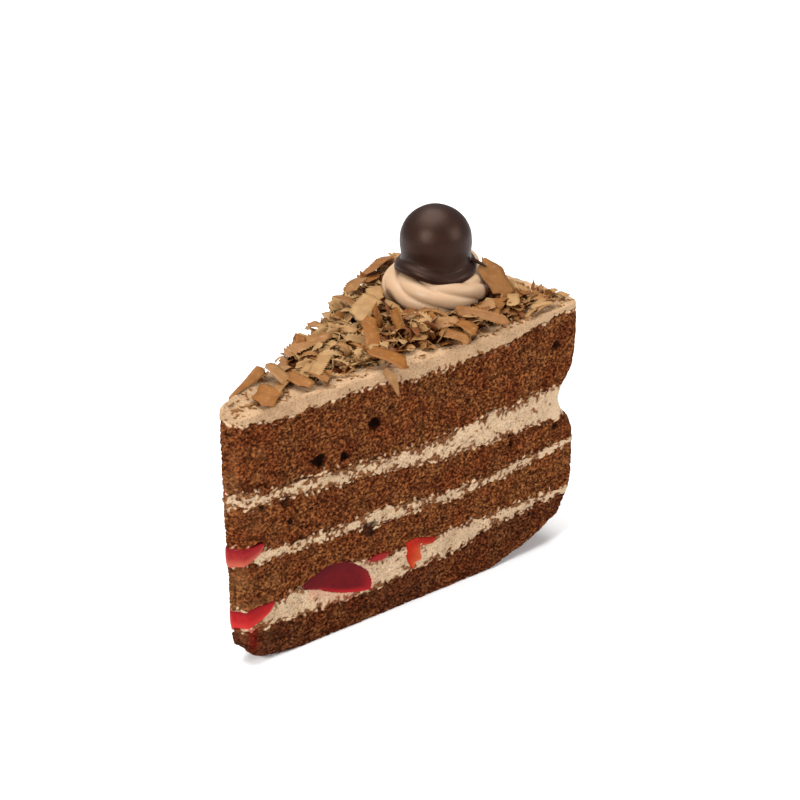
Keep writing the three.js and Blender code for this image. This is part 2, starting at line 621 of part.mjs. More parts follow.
const icingRoom = toManifold(layer(LAYERS.icing, GAP));
addPiece("shavings", shavingsHeap(icingRoom), SHAVINGS);
addPiece("rosette", largestBody(rosette(icingRoom)), ICING);
addPiece("chocolate_ball", dippedCherry(), DARK_CHOCOLATE);

export default cake;
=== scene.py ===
"""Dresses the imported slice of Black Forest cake: crumbed sponges, smeared cream, wet cherries, a heap
of curled chocolate shavings, a piped rosette and a chocolate-dipped cherry.

Shapes are worked out in millimetres from the cake's own axis, with +Y from the tip to the rim, and
placed in the frame by in_frame()."""

import itertools
import math

import bpy
import numpy as np
from mathutils import Euler, Matrix, Vector


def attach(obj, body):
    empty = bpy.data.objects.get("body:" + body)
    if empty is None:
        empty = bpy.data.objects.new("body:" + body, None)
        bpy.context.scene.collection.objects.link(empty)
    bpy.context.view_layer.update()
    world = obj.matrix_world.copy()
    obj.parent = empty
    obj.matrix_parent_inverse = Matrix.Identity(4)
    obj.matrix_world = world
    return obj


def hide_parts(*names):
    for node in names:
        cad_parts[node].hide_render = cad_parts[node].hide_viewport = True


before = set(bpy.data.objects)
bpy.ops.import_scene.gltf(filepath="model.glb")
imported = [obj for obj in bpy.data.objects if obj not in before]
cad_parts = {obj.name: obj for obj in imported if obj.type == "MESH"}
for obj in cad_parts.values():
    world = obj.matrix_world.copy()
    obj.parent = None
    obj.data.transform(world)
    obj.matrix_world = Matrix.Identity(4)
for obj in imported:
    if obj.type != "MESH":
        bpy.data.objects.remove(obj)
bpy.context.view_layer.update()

# ---------------------------------------------------------------- driving dimensions, in millimetres

SLICE_ANGLE = math.radians(30)
HALF_ANGLE = SLICE_ANGLE / 2
TIP_CUT = {1: 10.8, -1: 9.4}  # from the cake's axis to the blunt tip, right and left
TIP_CORNER = 1.2
TIP_REACH = 60  # the outline nearer the axis than this belongs to the blunt tip
RIM_CORNER = 2.6
AXIS_Y = -70.45  # the cake's axis in the frame
MIDDLE = np.array([0.0, 82.0])  # a point well inside the slice
RIM_SEEN = 127.0  # where the cut face meets the rounded rim
TOP_ROUND = 0.9  # how far the icing's upper edge is rounded in
TOP_BEND = 0.3  # over this share of the icing's height
TIP_LUMP = 2.8  # how far the icing is pushed up at the tip's left corner
LUMP_REACH = (3.4, 23)  # and how far that reaches across and along the left face
UNDER_LUMP_REACH = (3, 5)  # the same for the icing's underside, which rises half as much
TIP_WEAR = 2.0  # how far the base is worn up below it
WEAR_REACH = (4, 8)
TOP_WAVES = 0.35  # how far the icing's top rises and falls
BASE_ROUND = 0.5  # how far the lower edge of the bottom sponge is rounded in
BASE_BEND = 0.12  # over this share of that sponge's height
THINNEST = 0.15  # no layer is thinner than this
FACE_LENGTH = 116
RIM_LENGTH = 33  # half the round rim
GRID = 0.33  # spacing of the points of a cut face
RIM_GRID = 0.5
FAR = 9.0  # stands for a place beyond the reach of a fruit or a seam
OFF_TIP = 99.0  # the same for a distance along the blunt tip

# The rosette: its middle in plan, the radius of its ring and of its rope, how many times the rope
# goes round, how far it climbs, and how many ridges run along it.
ROSETTE = {"x": -4.6, "y": 107.6, "ring": 10.9, "tube": 5.0, "turns": 1.35, "rise": 4.0, "ridges": 5}
ROPE_START = math.pi * 0.88  # the direction from the rosette's middle in which its rope starts
ROPE_TWIST = 12.0  # how far its ridges turn about it over its length, in radians
ROPE_END = 0.985  # the share of the rope's length beyond which it closes
BALL = {"x": -4.0, "y": 107.0, "z": 97.1, "radius": 10.8}
DRIP_TURN = math.radians(26)  # the way in which the coat's drip runs


def through(points):
    """A smooth function through (x, y) points, flat beyond both ends, with no overshoot."""
    xs, ys = np.array(points, float).T
    secant = np.diff(ys) / np.diff(xs)
    before = np.concatenate([secant[:1], secant])
    after = np.concatenate([secant, secant[-1:]])
    same = before * after > 0
    slope = np.where(same, 2 * before * after / np.where(same, before + after, 1), 0)

    def value(x):
        x = np.clip(x, xs[0], xs[-1])
        i = np.clip(np.searchsorted(xs, x) - 1, 0, len(xs) - 2)
        span = xs[i + 1] - xs[i]
        t = (x - xs[i]) / span
        rising = ys[i] * (1 + 2 * t) * (1 - t) ** 2 + ys[i + 1] * t * t * (3 - 2 * t)
        return rising + span * (slope[i] * t * (1 - t) ** 2 - slope[i + 1] * t * t * (1 - t))

    return value


# The cake's radius and how much further in the blunt tip is cut, each against the height.
RIM = through([
    (9, 125.2), (14, 128.4), (22, 131.2), (30, 131.6), (37, 131.3), (42, 129.6), (46, 126.7),
    (50, 125.2), (53.5, 126.2), (58, 129.8), (64, 131.4), (72, 131.8), (80, 131.4),
])
TIP_SETBACK = through([
    (0, 4), (5, 1.5), (13, 0.8), (18, 0), (50, 0), (54, 0.8), (58, 0), (70, 0), (77, 0.9),
])

# How far the foot of the ball's coat has run down, in its radii, against the direction from its axis.
FOOT_SAG = through([
    (-3.15, 0.02), (-2.5, 0.06), (-1.87, -0.03), (-1.59, -0.02), (-0.93, 0.14), (-0.5, 0.22),
    (-0.26, 0.19), (0.66, 0.07), (1.9, -0.06), (3.15, 0.02),
])

# Each seam's height against the distance from the cake's axis, on the right-hand cut face.
SEAMS = {
    "base": through([
        (11, 4.2), (14, 2.6), (18, 1.4), (23, 0.6), (30, 0),
        (96, 0), (105, 1.9), (115, 5.2), (123, 9.2), (131, 13),
    ]),
    "lowerCreamUnder": through([
        (12, 11.9), (20, 11.3), (36, 10.4), (55, 9.6), (70, 11),
        (85, 11.6), (99, 15.4), (113, 16.3), (131, 17),
    ]),
    "lowerCreamOver": through([
        (12, 18.4), (20, 17.6), (30, 20), (44, 21), (61, 18.6), (80, 19.3), (104, 19.2), (131, 18.4),
    ]),
    "middleCreamUnder": through([
        (12, 33.2), (20, 32.2), (47, 32), (60, 30), (75, 30.8), (85, 29.2), (104, 31), (131, 34.3),
    ]),
    "middleCreamOver": through([
        (12, 37.2), (20, 35), (40, 34), (57, 35.1), (66, 33.5), (90, 32), (104, 33.1), (131, 35.6),
    ]),
    "upperCreamUnder": through([
        (12, 50.6), (23, 50), (31, 48.6), (48, 47.6), (66, 45.5), (85, 43.8), (114, 43.8), (131, 45.2),
    ]),
    "upperCreamOver": through([
        (12, 54.6), (22, 52.9), (45, 52.2), (64, 50.6), (80, 51), (95, 52.4), (114, 53.6), (131, 55),
    ]),
    "icingUnder": through([
        (12, 75.4), (26, 73.6), (45, 74.2), (59, 74.6), (66, 73.2),
        (85, 72.6), (106, 74.3), (118, 77.2), (131, 78.6),
    ]),
    "top": through([(12, 77), (28, 78), (60, 77.5), (90, 77.8), (108, 78.2), (118, 79.3), (131, 80.4)]),
}
SEAM_SEED = {name: i for i, name in enumerate(SEAMS)}
SEAM_WANDER = 1.3
# How ragged a cut seam is: the size and the height of each set of its teeth.
SEAM_TEETH = [(5.0, 0.45), (2.0, 0.65), (0.9, 0.45)]
SEAM_SPIKE = 0.55
CALM_RIM = 124  # further from the axis than this a seam is less ragged
CLEAN_CREAM = (115, 9)  # where the cream starts to be free of crumb, and over how far

LAYERS = {
    "sponge_bottom": ("base", "lowerCreamUnder"),
    "cream_lower": ("lowerCreamUnder", "lowerCreamOver"),
    "sponge_lower": ("lowerCreamOver", "middleCreamUnder"),
    "cream_middle": ("middleCreamUnder", "middleCreamOver"),
    "sponge_upper": ("middleCreamOver", "upperCreamUnder"),
    "cream_upper": ("upperCreamUnder", "upperCreamOver"),
    "sponge_top": ("upperCreamOver", "icingUnder"),
    "icing": ("icingUnder", "top"),
}

# Fruit cut by a side face: which face (1 right, -1 left), where its middle is (distance from the
# cake's axis, height), half sizes along and up the face, tilt in degrees, how far below its middle
# it is cut flat, how deep it lies, and how much its near end is drawn to a point.
FRUIT = {
    "cherry_main": {
        "side": 1, "at": (41.5, 14.6), "half": (13, 8.4), "tilt": 20, "drop": 0.4, "deep": 8, "point": 0.45,
    },
    "cherry_left": {
        "side": -1, "at": (68, 13.4), "half": (10.5, 7.6), "tilt": -6, "drop": 1.4, "deep": 7, "point": 0.2,
    },
    "cherry_sliver": {
        "side": 1, "at": (56.5, 19.4), "half": (3.6, 1.1), "tilt": 3, "drop": 9, "deep": 1.4, "point": 0.3,
    },
}
SAG = 1.1  # how far the flat of a cut cherry bows down
POCKET_ROOM = 0.4  # clearance behind a cut cherry
TIP_POCKET = 1.6  # depth of the hollow behind the fruit across the tip
# A slice of cherry in the right-hand cut face, as its two edges from the tail to the lower point.
WEDGE_OUTER = [
    (77.9, 18.9), (73.3, 20.2), (69.6, 21.1), (66.6, 20.8), (66.1, 17.4), (67.2, 13.4), (69, 10.7),
]
WEDGE_INNER = [
    (77.9, 18.9), (76.0, 17.3), (71.6, 17.9), (71.5, 16.2), (71.9, 13.4), (69.9, 13.2), (69, 10.7),
]
WEDGE_SHARE = (0.008, 0.992)  # the stretch of those edges that is built, short of where they meet
# Fruit across the blunt tip: where its middle is along the outline (right of the tip's middle is
# positive), the height of its middle there, half length, half height, and how much its ends rise.
TIP_FRUIT = {
    "cherry_tip_lower": {"along": -1.6, "z": 15.2, "length": 14.2, "height": 2.9, "rise": 0.7},
    "cherry_tip_middle": {"along": -2.0, "z": 35.1, "length": 12.2, "height": 2.8, "rise": 0.2},
    "cherry_tip_upper": {"along": -4.6, "z": 53.2, "length": 2.6, "height": 1.4, "rise": 0.0},
}
# How far the juice of each of them has spread, in its own half heights.
TIP_STAINS = {"cherry_tip_lower": 1.2, "cherry_tip_middle": 1.3, "cherry_tip_upper": 2.2}
# Air holes and dark patches in the right-hand cut face: distance from the cake's axis, height,
# radius, depth and darkness: painted shade in the holes and the dark patches' own colour.
AIR_HOLES = [
    (56.3, 62.5, 2.2, 2.2, 1), (37.1, 57, 2.3, 2.2, 1), (45.5, 55.6, 1.5, 1.5, 1),
    (123, 68, 1.5, 1.4, 0.9), (53.5, 30.0, 3.0, 0.3, 0.8), (25.5, 47.4, 1.7, 0.9, 0.75),
    (17.9, 48.6, 1.0, 0.8, 0.8), (123.5, 41.3, 1.3, 1.1, 0.9), (106, 40.6, 1.2, 1.0, 0.9),
    (27, 41.5, 0.9, 0.8, 0.9), (62, 66, 0.8, 0.6, 0.8), (94, 68, 0.9, 0.7, 0.8),
    (30, 35.5, 0.8, 0.6, 0.8), (80, 24, 0.8, 0.6, 0.8),
]

# ---------------------------------------------------------------- number helpers


def ripple(a, b, seed):
    """Slow waves between -1 and 1 over two distances."""
    long = np.sin(0.31 * a + 1.9 * seed) * np.cos(0.27 * b + 2.3 * seed)
    short = np.sin(0.83 * a - 0.61 * b + 4.1 * seed)
    return (long + 0.5 * short) / 1.5


def smooth_step(t):
    """0 up to 0 and 1 from 1 on, with a smooth rise between."""
    t = np.clip(t, 0, 1)
    return t * t * (3 - 2 * t)


def polar(radius, angle):
    """A place in plan: its distance from the cake's axis and its angle, positive to the right."""
    return np.stack(np.broadcast_arrays(radius * np.sin(angle), radius * np.cos(angle)), -1)


def hashed(cell, seed):
    """Repeatable draws between 0 and 1, one for each whole-number cell."""
    mixed = (cell[..., 0] * 73856093) ^ (cell[..., 1] * 19349663) ^ (cell[..., 2] * 83492791)
    mixed = (mixed + seed * 7919) & 0xFFFFFFFF
    for shift, factor in ((15, 0x2C1B3C6D), (12, 0x297A2D39)):
        mixed = ((mixed ^ (mixed >> shift)) * factor) & 0xFFFFFFFF
    return (mixed ^ (mixed >> 15)) / 0xFFFFFFFF


# Noise is laid on a grid turned away from the slice's own directions.
NOISE_TURN = np.array(Euler((0.6, 0.9, 0.4)).to_matrix())


def noise(points, size, seed):
    """Smooth noise between -1 and 1 with bumps about size apart."""
    scaled = points @ NOISE_TURN / size
    cell = np.floor(scaled).astype(np.int64)
    t = scaled - cell
    t = t * t * (3 - 2 * t)
    total = 0
    for corner in itertools.product((0, 1), repeat=3):
        weight = np.prod(np.where(corner, t, 1 - t), axis=-1)
        total = total + weight * hashed(cell + corner, seed)
    return 2 * total - 1


def nearest_cell(points, size, seed):
    """The distance, in sizes, to the nearest of a cloud of points about size apart, and its draw."""
    scaled = points @ NOISE_TURN / size
    cell = np.floor(scaled).astype(np.int64)
    best = np.full(len(points), FAR)
    draw = np.zeros(len(points))
    for offset in itertools.product((-1, 0, 1), repeat=3):
        near = cell + offset
        centre = near + np.stack([hashed(near, seed + k) for k in range(3)], -1)
        distance = np.linalg.norm(scaled - centre, axis=-1)
        closer = distance < best
        best = np.where(closer, distance, best)
        draw = np.where(closer, hashed(near, seed + 5), draw)
    return best, draw


def from_axis(points):
    """Distance from the cake's axis."""
    return np.linalg.norm(points[..., :2], axis=-1)


def in_frame(points):
    """Millimetres from the cake's axis as metres in the frame."""
    return (np.asarray(points, float) + (0, AXIS_Y, 0)) / 1000


def mesh_piece(name, points, faces, material, replaces=(), flat=(), values=None):
    """A piece from points in millimetres and lists of faces. flat holds the faces that aren't shaded
    smooth, and values a number for each point under each attribute's name."""
    mesh = bpy.data.meshes.new(name)
    mesh.from_pydata(in_frame(points).tolist(), [], faces)
    smooth = np.ones(len(faces), bool)
    smooth[list(flat)] = False
    mesh.polygons.foreach_set("use_smooth", smooth)
    for label, numbers in (values or {}).items():
        layer = mesh.attributes.new(label, "FLOAT", "POINT")
        layer.data.foreach_set("value", np.asarray(numbers, np.float32))
    mesh.materials.append(material)
    piece = bpy.data.objects.new(name, mesh)
    bpy.context.scene.collection.objects.link(piece)
    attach(piece, "root")
    if replaces:
        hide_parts(*replaces)


def wall_faces(rows, columns):
    """Quads between rings of points numbered from 1, outward where they rise and run anticlockwise."""
    row, column = np.meshgrid(np.arange(rows - 1), np.arange(columns), indexing="ij")
    here, after = row * columns + 1, (column + 1) % columns
    corners = [here + column, here + after, here + columns + after, here + columns + column]
    return np.stack(corners, -1).reshape(-1, 4).tolist()


def closed(rings, bottom, top):
    """Points and faces of a body through rings, with a point at each end."""
    count = rings.shape[1]
    points = np.concatenate([[bottom], rings.reshape(-1, 3), [top]])
    last, end = len(points) - 1, len(points) - 1 - count
    around = [(i, (i + 1) % count) for i in range(count)]
    faces = [[0, 1 + after, 1 + here] for here, after in around]
    faces += wall_faces(len(rings), count)
    faces += [[last, end + here, end + after] for here, after in around]
    return points, faces


def ringed_piece(name, rings, material, replaces=(), values=None):
    """A closed piece through rings that run anticlockwise, seen from the last of them."""
    points, faces = closed(rings, rings[0].mean(0), rings[-1].mean(0))
    mesh_piece(name, points, faces, material, replaces, values=values)


def slab_faces(rows, columns):
    """Faces over a grid of points and the same grid under it, the edge's last, and how many those
    are. The rows of the grid run ahead and its columns to the left."""
    grid = np.arange(rows * columns).reshape(rows, columns)
    corners = [grid[:-1, :-1], grid[1:, :-1], grid[1:, 1:], grid[:-1, 1:]]
    over = np.stack(corners, -1).reshape(-1, 4)
    border = np.concatenate([grid[0], grid[1:, -1], grid[-1, -2::-1], grid[-2:0:-1, 0]])
    after = np.roll(border, -1)
    edge = np.stack([border, after, after + grid.size, border + grid.size], -1)
    return np.concatenate([over, over[:, ::-1] + grid.size, edge]).tolist(), len(edge)


# ---------------------------------------------------------------- the slice's outline


def columns():
    """Where the outline's points lie: side of the slice, stretch of that side, share of the stretch."""
    steps = (5, 6, round(FACE_LENGTH / GRID), 8, round(RIM_LENGTH / RIM_GRID))
    half = [(stretch, i / count) for stretch, count in enumerate(steps) for i in range(count)]
    half.append((len(steps) - 1, 1.0))
    right = [(1, *each) for each in half]
    left = [(-1, *each) for each in half[1:-1]]
    return np.array(right + left[::-1])


COLUMNS = columns()


def outline(height):
    """The slice's plan at a height, anticlockwise from the middle of the tip."""
    side, stretch, share = COLUMNS.T
    rim = RIM(height)
    cut = np.where(side > 0, TIP_CUT[1], TIP_CUT[-1]) + TIP_SETBACK(height)
    middle = ((TIP_CUT[1] + TIP_CUT[-1]) / 2 + TIP_SETBACK(height)) * math.cos(HALF_ANGLE)
    arc_angle = HALF_ANGLE - RIM_CORNER / rim
    tip_corner = polar(cut, HALF_ANGLE)
    tip_start = tip_corner - (TIP_CORNER, 0)
    face_start = polar(cut + TIP_CORNER, HALF_ANGLE)
    face_end = polar(rim - RIM_CORNER, HALF_ANGLE)
    rim_corner = polar(rim, HALF_ANGLE)
    arc_start = polar(rim, arc_angle)
    t = share[:, None]

    def bend(start, control, end):
        return start * (1 - t) ** 2 + control * 2 * t * (1 - t) + end * t * t

    tip_middle = np.array([0.0, middle])
    stretches = [
        tip_middle * (1 - t) + tip_start * t,
        bend(tip_start, tip_corner, face_start),
        face_start * (1 - t) + face_end * t,
        bend(face_end, rim_corner, arc_start),
        polar(rim, arc_angle * (1 - share)),
    ]
    plan = np.choose(stretch.astype(int)[:, None], stretches)
    return plan * np.stack([side, np.ones_like(side)], -1)


def outward(plan):
    """The way out of an anticlockwise outline at each of its points."""
    along = np.roll(plan, -1, axis=0) - np.roll(plan, 1, axis=0)
    normal = np.stack([along[:, 1], -along[:, 0]], -1)
    return normal / np.linalg.norm(normal, axis=-1, keepdims=True)


def from_right_face(plan):
    """How far inside the right-hand cut face a place is."""
    return plan[..., 1] * math.sin(HALF_ANGLE) - plan[..., 0] * math.cos(HALF_ANGLE)


def from_left_face(plan):
    """The same for the left-hand one."""
    return plan[..., 1] * math.sin(HALF_ANGLE) + plan[..., 0] * math.cos(HALF_ANGLE)


def left_corner(plan, wide, long):
    """1 at the tip's left corner, fading over these distances from the left face and along it."""
    along = from_axis(plan) - TIP_CUT[-1]
    return np.exp(-((from_left_face(plan) / wide) ** 2) - (along / long) ** 4)


def top_height(plan):
    """The height of the icing's top over points of the plan."""
    waves = TOP_WAVES * ripple(plan[..., 0] * 2, plan[..., 1] * 1.5, 9)
    return SEAMS["top"](from_axis(plan)) + waves + TIP_LUMP * left_corner(plan, *LUMP_REACH)


def seam_height(name, plan):
    """A seam's height over points of the plan, the more wavy the further from the right-hand face."""
    if name == "base":
        worn = TIP_WEAR * left_corner(plan, *WEAR_REACH)
        return SEAMS["base"](plan[..., 1] / math.cos(HALF_ANGLE)) + worn
    if name == "top":
        return top_height(plan)
    radius = from_axis(plan)
    side = 0.5 - np.arctan2(plan[..., 0], plan[..., 1]) / SLICE_ANGLE
    seed = SEAM_SEED[name]
    height = SEAMS[name](radius) + SEAM_WANDER * side * ripple(radius, 12 * side, seed)
    if name == "icingUnder":
        height = height + 0.5 * TIP_LUMP * left_corner(plan, *UNDER_LUMP_REACH)
    spot = np.concatenate([plan, np.full((*plan.shape[:-1], 1), 10.0 * seed)], -1)
    calm = (1 - 0.6 * smooth_step((radius - CALM_RIM) / 4)) * (0.75 + 0.5 * noise(spot, 9, seed + 60))
    teeth = sum(rise * noise(spot, size, seed + 40) for size, rise in SEAM_TEETH)
    spikes = SEAM_SPIKE * (1 - 2.5 * np.abs(noise(spot, 1.5, seed + 80)))
    return height + calm * (teeth + spikes)


def along_tip(plan):
    """Distance along the outline from the middle of the blunt tip, positive to the right."""
    half_width = 0.5 * (TIP_CUT[1] + TIP_CUT[-1]) * math.sin(HALF_ANGLE)
    beyond = np.maximum(np.abs(plan[..., 0]) - half_width, 0) / math.sin(HALF_ANGLE)
    along = np.sign(plan[..., 0]) * (np.minimum(np.abs(plan[..., 0]), half_width) + beyond)
    return np.where(plan[..., 1] < TIP_REACH, along, OFF_TIP)


# ---------------------------------------------------------------- places on a cut face


def face_axes(side):
    """The directions in plan along a side face, away from the cake's axis, and into the slice."""
    return polar(1.0, side * HALF_ANGLE), np.array([-side * math.cos(HALF_ANGLE), math.sin(HALF_ANGLE)])


def face_place(fruit, points):
    """Points as distances along and up a fruit's own axes, and how far each lies behind its face."""
    radius, height = fruit["at"]
    along, inward = face_axes(fruit["side"])
    offset = points[:, :2] - polar(radius, fruit["side"] * HALF_ANGLE)
    a = offset @ along
    c = points[:, 2] - height
    tilt = math.radians(fruit["tilt"])
    first = a * math.cos(tilt) - c * math.sin(tilt)
    second = a * math.sin(tilt) + c * math.cos(tilt)
    return first, second, offset @ inward


def from_face(fruit, first, second, behind):
    """The point at these distances from a fruit's own axes, the other way round."""
    radius, height = fruit["at"]
    tilt = math.radians(fruit["tilt"])
    a = first * math.cos(tilt) + second * math.sin(tilt)
    c = -first * math.sin(tilt) + second * math.cos(tilt)
    plan = polar(radius + a, fruit["side"] * HALF_ANGLE)
    plan = plan + np.asarray(behind)[..., None] * face_axes(fruit["side"])[1]
    return np.concatenate([plan, (height + c)[..., None]], -1)


def drawn_tall(fruit, first):
    """A cut cherry's half height in its face, less towards the end that is drawn to a point."""
    near_end = np.clip(-first / fruit["half"][0], 0, 1)
    return fruit["half"][1] * (1 - fruit["point"] * near_end**2)


def flat_level(fruit, first):
    """How far below a cut cherry's middle its flat lies."""
    share = (first / fruit["half"][0] - 0.25) / 0.75
    return fruit["drop"] + SAG * np.clip(1 - share**2, 0, 1)


def oval(fruit, points):
    """0 at a fruit's middle and 1 at its edge, in its face, and beyond 1 behind or away from it."""
    first, second, behind = face_place(fruit, points)
    reach = np.hypot(first / fruit["half"][0], second / drawn_tall(fruit, first))
    below = 1 - (flat_level(fruit, first) + second) / 4
    return np.where(behind < 6, np.maximum(reach, below), FAR)


def wedge_edges(steps):
    """The two edges of the slice of cherry as rows of points in its face."""
    share = np.linspace(*WEDGE_SHARE, steps + 1)
    edges = []
    for spots in (WEDGE_OUTER, WEDGE_INNER):
        knots = np.linspace(0, 1, len(spots))
        edges.append(np.stack([through(list(zip(knots, column)))(share) for column in zip(*spots)], -1))
    return edges


def tip_middle_height(fruit, share):
    """The height of a tip cherry's middle line: its upper edge is nearly straight, its ends rise."""
    flat_top = fruit["height"] * (1 - np.sqrt(np.clip(1 - share**2, 0, 1)))
    return fruit["z"] + 0.9 * flat_top + fruit["rise"] * share**2


def tip_lens(fruit, along, z):
    """0 along the middle of a fruit across the tip and 1 at its edge."""
    share = (along - fruit["along"]) / fruit["length"]
    height = fruit["height"] * np.sqrt(np.clip(1 - share**2, 1e-4, 1))
    return np.where(np.abs(share) < 1, np.abs(z - tip_middle_height(fruit, share)) / height, FAR)


def pockets(points):
    """How far each point of a side gives way to the fruit set in it."""
    depth = np.zeros(len(points))
    for fruit in FRUIT.values():
        reach = oval(fruit, points)
        room = fruit["deep"] * np.sqrt(np.clip(1 - reach**2, 0, 1)) + POCKET_ROOM
        depth = np.where(reach < 0.95, room, depth)
    along = along_tip(points[:, :2])
    for fruit in TIP_FRUIT.values():
        reach = tip_lens(fruit, along, points[:, 2])
        depth = np.where(reach < 0.94, TIP_POCKET, depth)
    return depth


def juice(points):
    """How red the fruit's juice has stained each point, from 0 to 1."""
    stain = np.zeros(len(points))
    ragged = 0.35 * noise(points, 1.4, 71) + 0.2 * noise(points, 0.7, 72)
    along = along_tip(points[:, :2])
    z = points[:, 2]
    for name, reach in TIP_STAINS.items():
        near = tip_lens(TIP_FRUIT[name], along, z)
        stain = np.maximum(stain, smooth_step((reach - near + ragged) / 0.4))
    for fruit in FRUIT.values():
        near = oval(fruit, points)
        stain = np.maximum(stain, 0.6 * smooth_step((1.02 - near + 0.22 * ragged) / 0.1))
    near = oval(FRUIT["cherry_sliver"], points)
    stain = np.maximum(stain, 0.7 * smooth_step((1.6 - near + ragged) / 0.7))
    first, second, behind = face_place(FRUIT["cherry_main"], points)
    under = (np.abs(first + 1) < 9) & (second < 0) & (behind < 3)
    pooled = 0.4 * np.clip(1 + (second + 1.5) / 3.5 + ragged, 0, 1)
    stain = np.where(under, np.maximum(stain, pooled), stain)
    run = np.exp(-(((along - 4.8 - 0.8 * ragged) / 1.8) ** 2)) * smooth_step((z - 4) / 3) * (z < 12.5)
    return np.maximum(stain, 0.75 * run)


def damp(points, name):
    """How dark the syrup has left the sponge: the bottom most of all, and more towards the tip."""
    share = 0.55 if name == "sponge_bottom" else 0.0
    tip = smooth_step((34 - points[:, 1]) / 16) * smooth_step((13 - points[:, 2]) / 3)
    return np.clip(share + 0.3 * tip + 0.3 * noise(points, 7, 77), 0, 1)


def air_holes(points):
    """How deep an air hole is at each point, in millimetres, and how dark, from 0 to 1: painted shade in a
    hole, and the dark patches' own colour.
    """
    depth = np.zeros(len(points))
    dark = np.zeros(len(points))
    ragged = 1 + 0.3 * noise(points, 1.3, 81) + 0.25 * noise(points, 0.7, 82)
    for radius, height, size, deep, shade in AIR_HOLES:
        centre = np.append(polar(radius, HALF_ANGLE), height)
        distance = np.linalg.norm(points - centre, axis=-1) * ragged / size
        bowl = np.sqrt(np.clip(1 - distance**2, 0, 1))
        depth = np.maximum(depth, deep * bowl)
        dark = np.maximum(dark, shade * smooth_step(bowl / 0.7))
    return depth, dark


# ---------------------------------------------------------------- sponge and cream


CRUMB_SIZE = 1.22
PORE_SPACING = 2.8


def crumb_relief(points, seed):
    """How far open crumb stands out, in millimetres, how hollow it is and how deep in a fold, 0 to 1."""
    squat = points * (1, 1, 1.45)
    grain = nearest_cell(squat, CRUMB_SIZE, seed)[0]
    lumps = 0.6 * noise(squat, 0.85, seed + 3) + 0.4 * noise(points, 2.4, seed + 4)
    fold = smooth_step((grain - 0.5 - 0.5 * lumps) / 0.5)
    crack = smooth_step((noise(points * (1, 1, 2.2), 2.8, seed + 6) + 0.35 * lumps - 0.42) / 0.3)
    fold = np.maximum(fold, 0.9 * crack)
    relief = 0.32 * (0.5 - grain) + 0.2 * lumps - 0.35 * fold - 0.35 * crack
    relief = relief + 0.14 * noise(points, 5, seed + 5)
    pore, draw = nearest_cell(squat, PORE_SPACING, seed + 7)
    wide = 0.1 + 0.22 * draw**5
    hollow = np.clip(1 - pore / wide, 0, 1) ** 0.6
    return relief - 1.1 * wide * PORE_SPACING * hollow, hollow, fold


def cream_relief(points, rough, seed):
    """How far cream that a knife has dragged along the face stands out, and how hollow it is."""
    dragged = points * (0.6, 0.6, 1)
    patches = 0.6 + 0.6 * noise(points, 6, seed + 8)
    relief = 0.3 * noise(dragged, 1.1, seed) + 0.3 * patches * noise(dragged, 0.6, seed + 1)
    relief = relief + 0.25 * noise(points, 3.5, seed + 2)
    pore, draw = nearest_cell(points * (0.7, 0.7, 1), 1.2, seed + 5)
    wide = np.where(draw > 0.55, 0.12 + 0.3 * (draw - 0.55), 0.01)
    hollow = np.clip(1 - pore / wide, 0, 1) ** 0.7
    return rough * (relief - 0.6 * hollow), hollow * min(rough + 0.2, 1)


def rounded(share, depth):
    """How far a rounded edge has drawn in, where share runs from 0 to 1 through its bend."""
    return depth * (1 - np.sqrt(np.clip(1 - np.clip(share, 0, 1) ** 2, 0, 1)))


def layer_points(name):
    """A layer's side as rows of points, from its lower seam to its upper one."""
    under, over = LAYERS[name]
    low_rim, high_rim = SEAMS[under](RIM_SEEN), SEAMS[over](RIM_SEEN)
    tallest = np.max(seam_height(over, outline(high_rim)) - seam_height(under, outline(low_rim)))
    steps = max(6, round(tallest / GRID))
    rows = []
    for share in np.linspace(0, 1, steps + 1):
        plan = outline(low_rim + (high_rim - low_rim) * share)
        low, high = seam_height(under, plan), seam_height(over, plan)
        if over == "top":
            plan = plan - rounded((share - 1 + TOP_BEND) / TOP_BEND, TOP_ROUND) * outward(plan)
        if under == "base":
            plan = plan - rounded((BASE_BEND - share) / BASE_BEND, BASE_ROUND) * outward(plan)
        low = np.minimum(low, high - THINNEST)
        rows.append(np.column_stack([plan, low + (high - low) * share]))
    return np.array(rows)


def cap(ring, name, upper, scales):
    """Rings over a layer's end, from its side towards its middle, and the middle point."""
    seam = LAYERS[name][1 if upper else 0]
    rings = []
    for scale in scales:
        plan = MIDDLE + (ring[:, :2] - MIDDLE) * scale
        rings.append(np.column_stack([plan, seam_height(seam, plan)]))
    pole = np.append(MIDDLE, seam_height(seam, MIDDLE[None])[0])
    return rings, pole


CAP_SCALES = (0.99, 0.96, 0.6)
ICING_SCALES = (0.993, 0.985, 0.975, 0.96, 0.94, 0.91, 0.85, 0.7, 0.4)


def build_layer(name, material, relief):
    """One layer: its side with relief, closed by a cap over each end."""
    rows = layer_points(name)
    count = rows.shape[1]
    side = rows.reshape(-1, 3)
    normals = np.concatenate([outward(row[:, :2]) for row in rows])
    move, values = relief(side)
    side[:, :2] += normals * move[:, None]
    seen_above = name == "icing"
    below, bottom = cap(rows[0], name, False, CAP_SCALES)
    above, top = cap(rows[-1], name, True, ICING_SCALES if seen_above else CAP_SCALES)
    points, faces = closed(np.array([*below[::-1], *rows, *above]), bottom, top)
    flat = list(range(count * (1 + len(below))))
    if not seen_above:
        flat += range(len(faces) - count * (1 + len(above)), len(faces))
    before, after = np.zeros(1 + count * (len(below) - 1)), np.zeros(1 + count * (len(above) - 1))
    carried = 0.0 if seen_above else 1.0
    padded = {
        key: np.concatenate([before, value[:count], value, carried * value[-count:], after])
        for key, value in values.items()
    }
    mesh_piece(name + "_crumb", points, faces, material, [name], flat, padded)


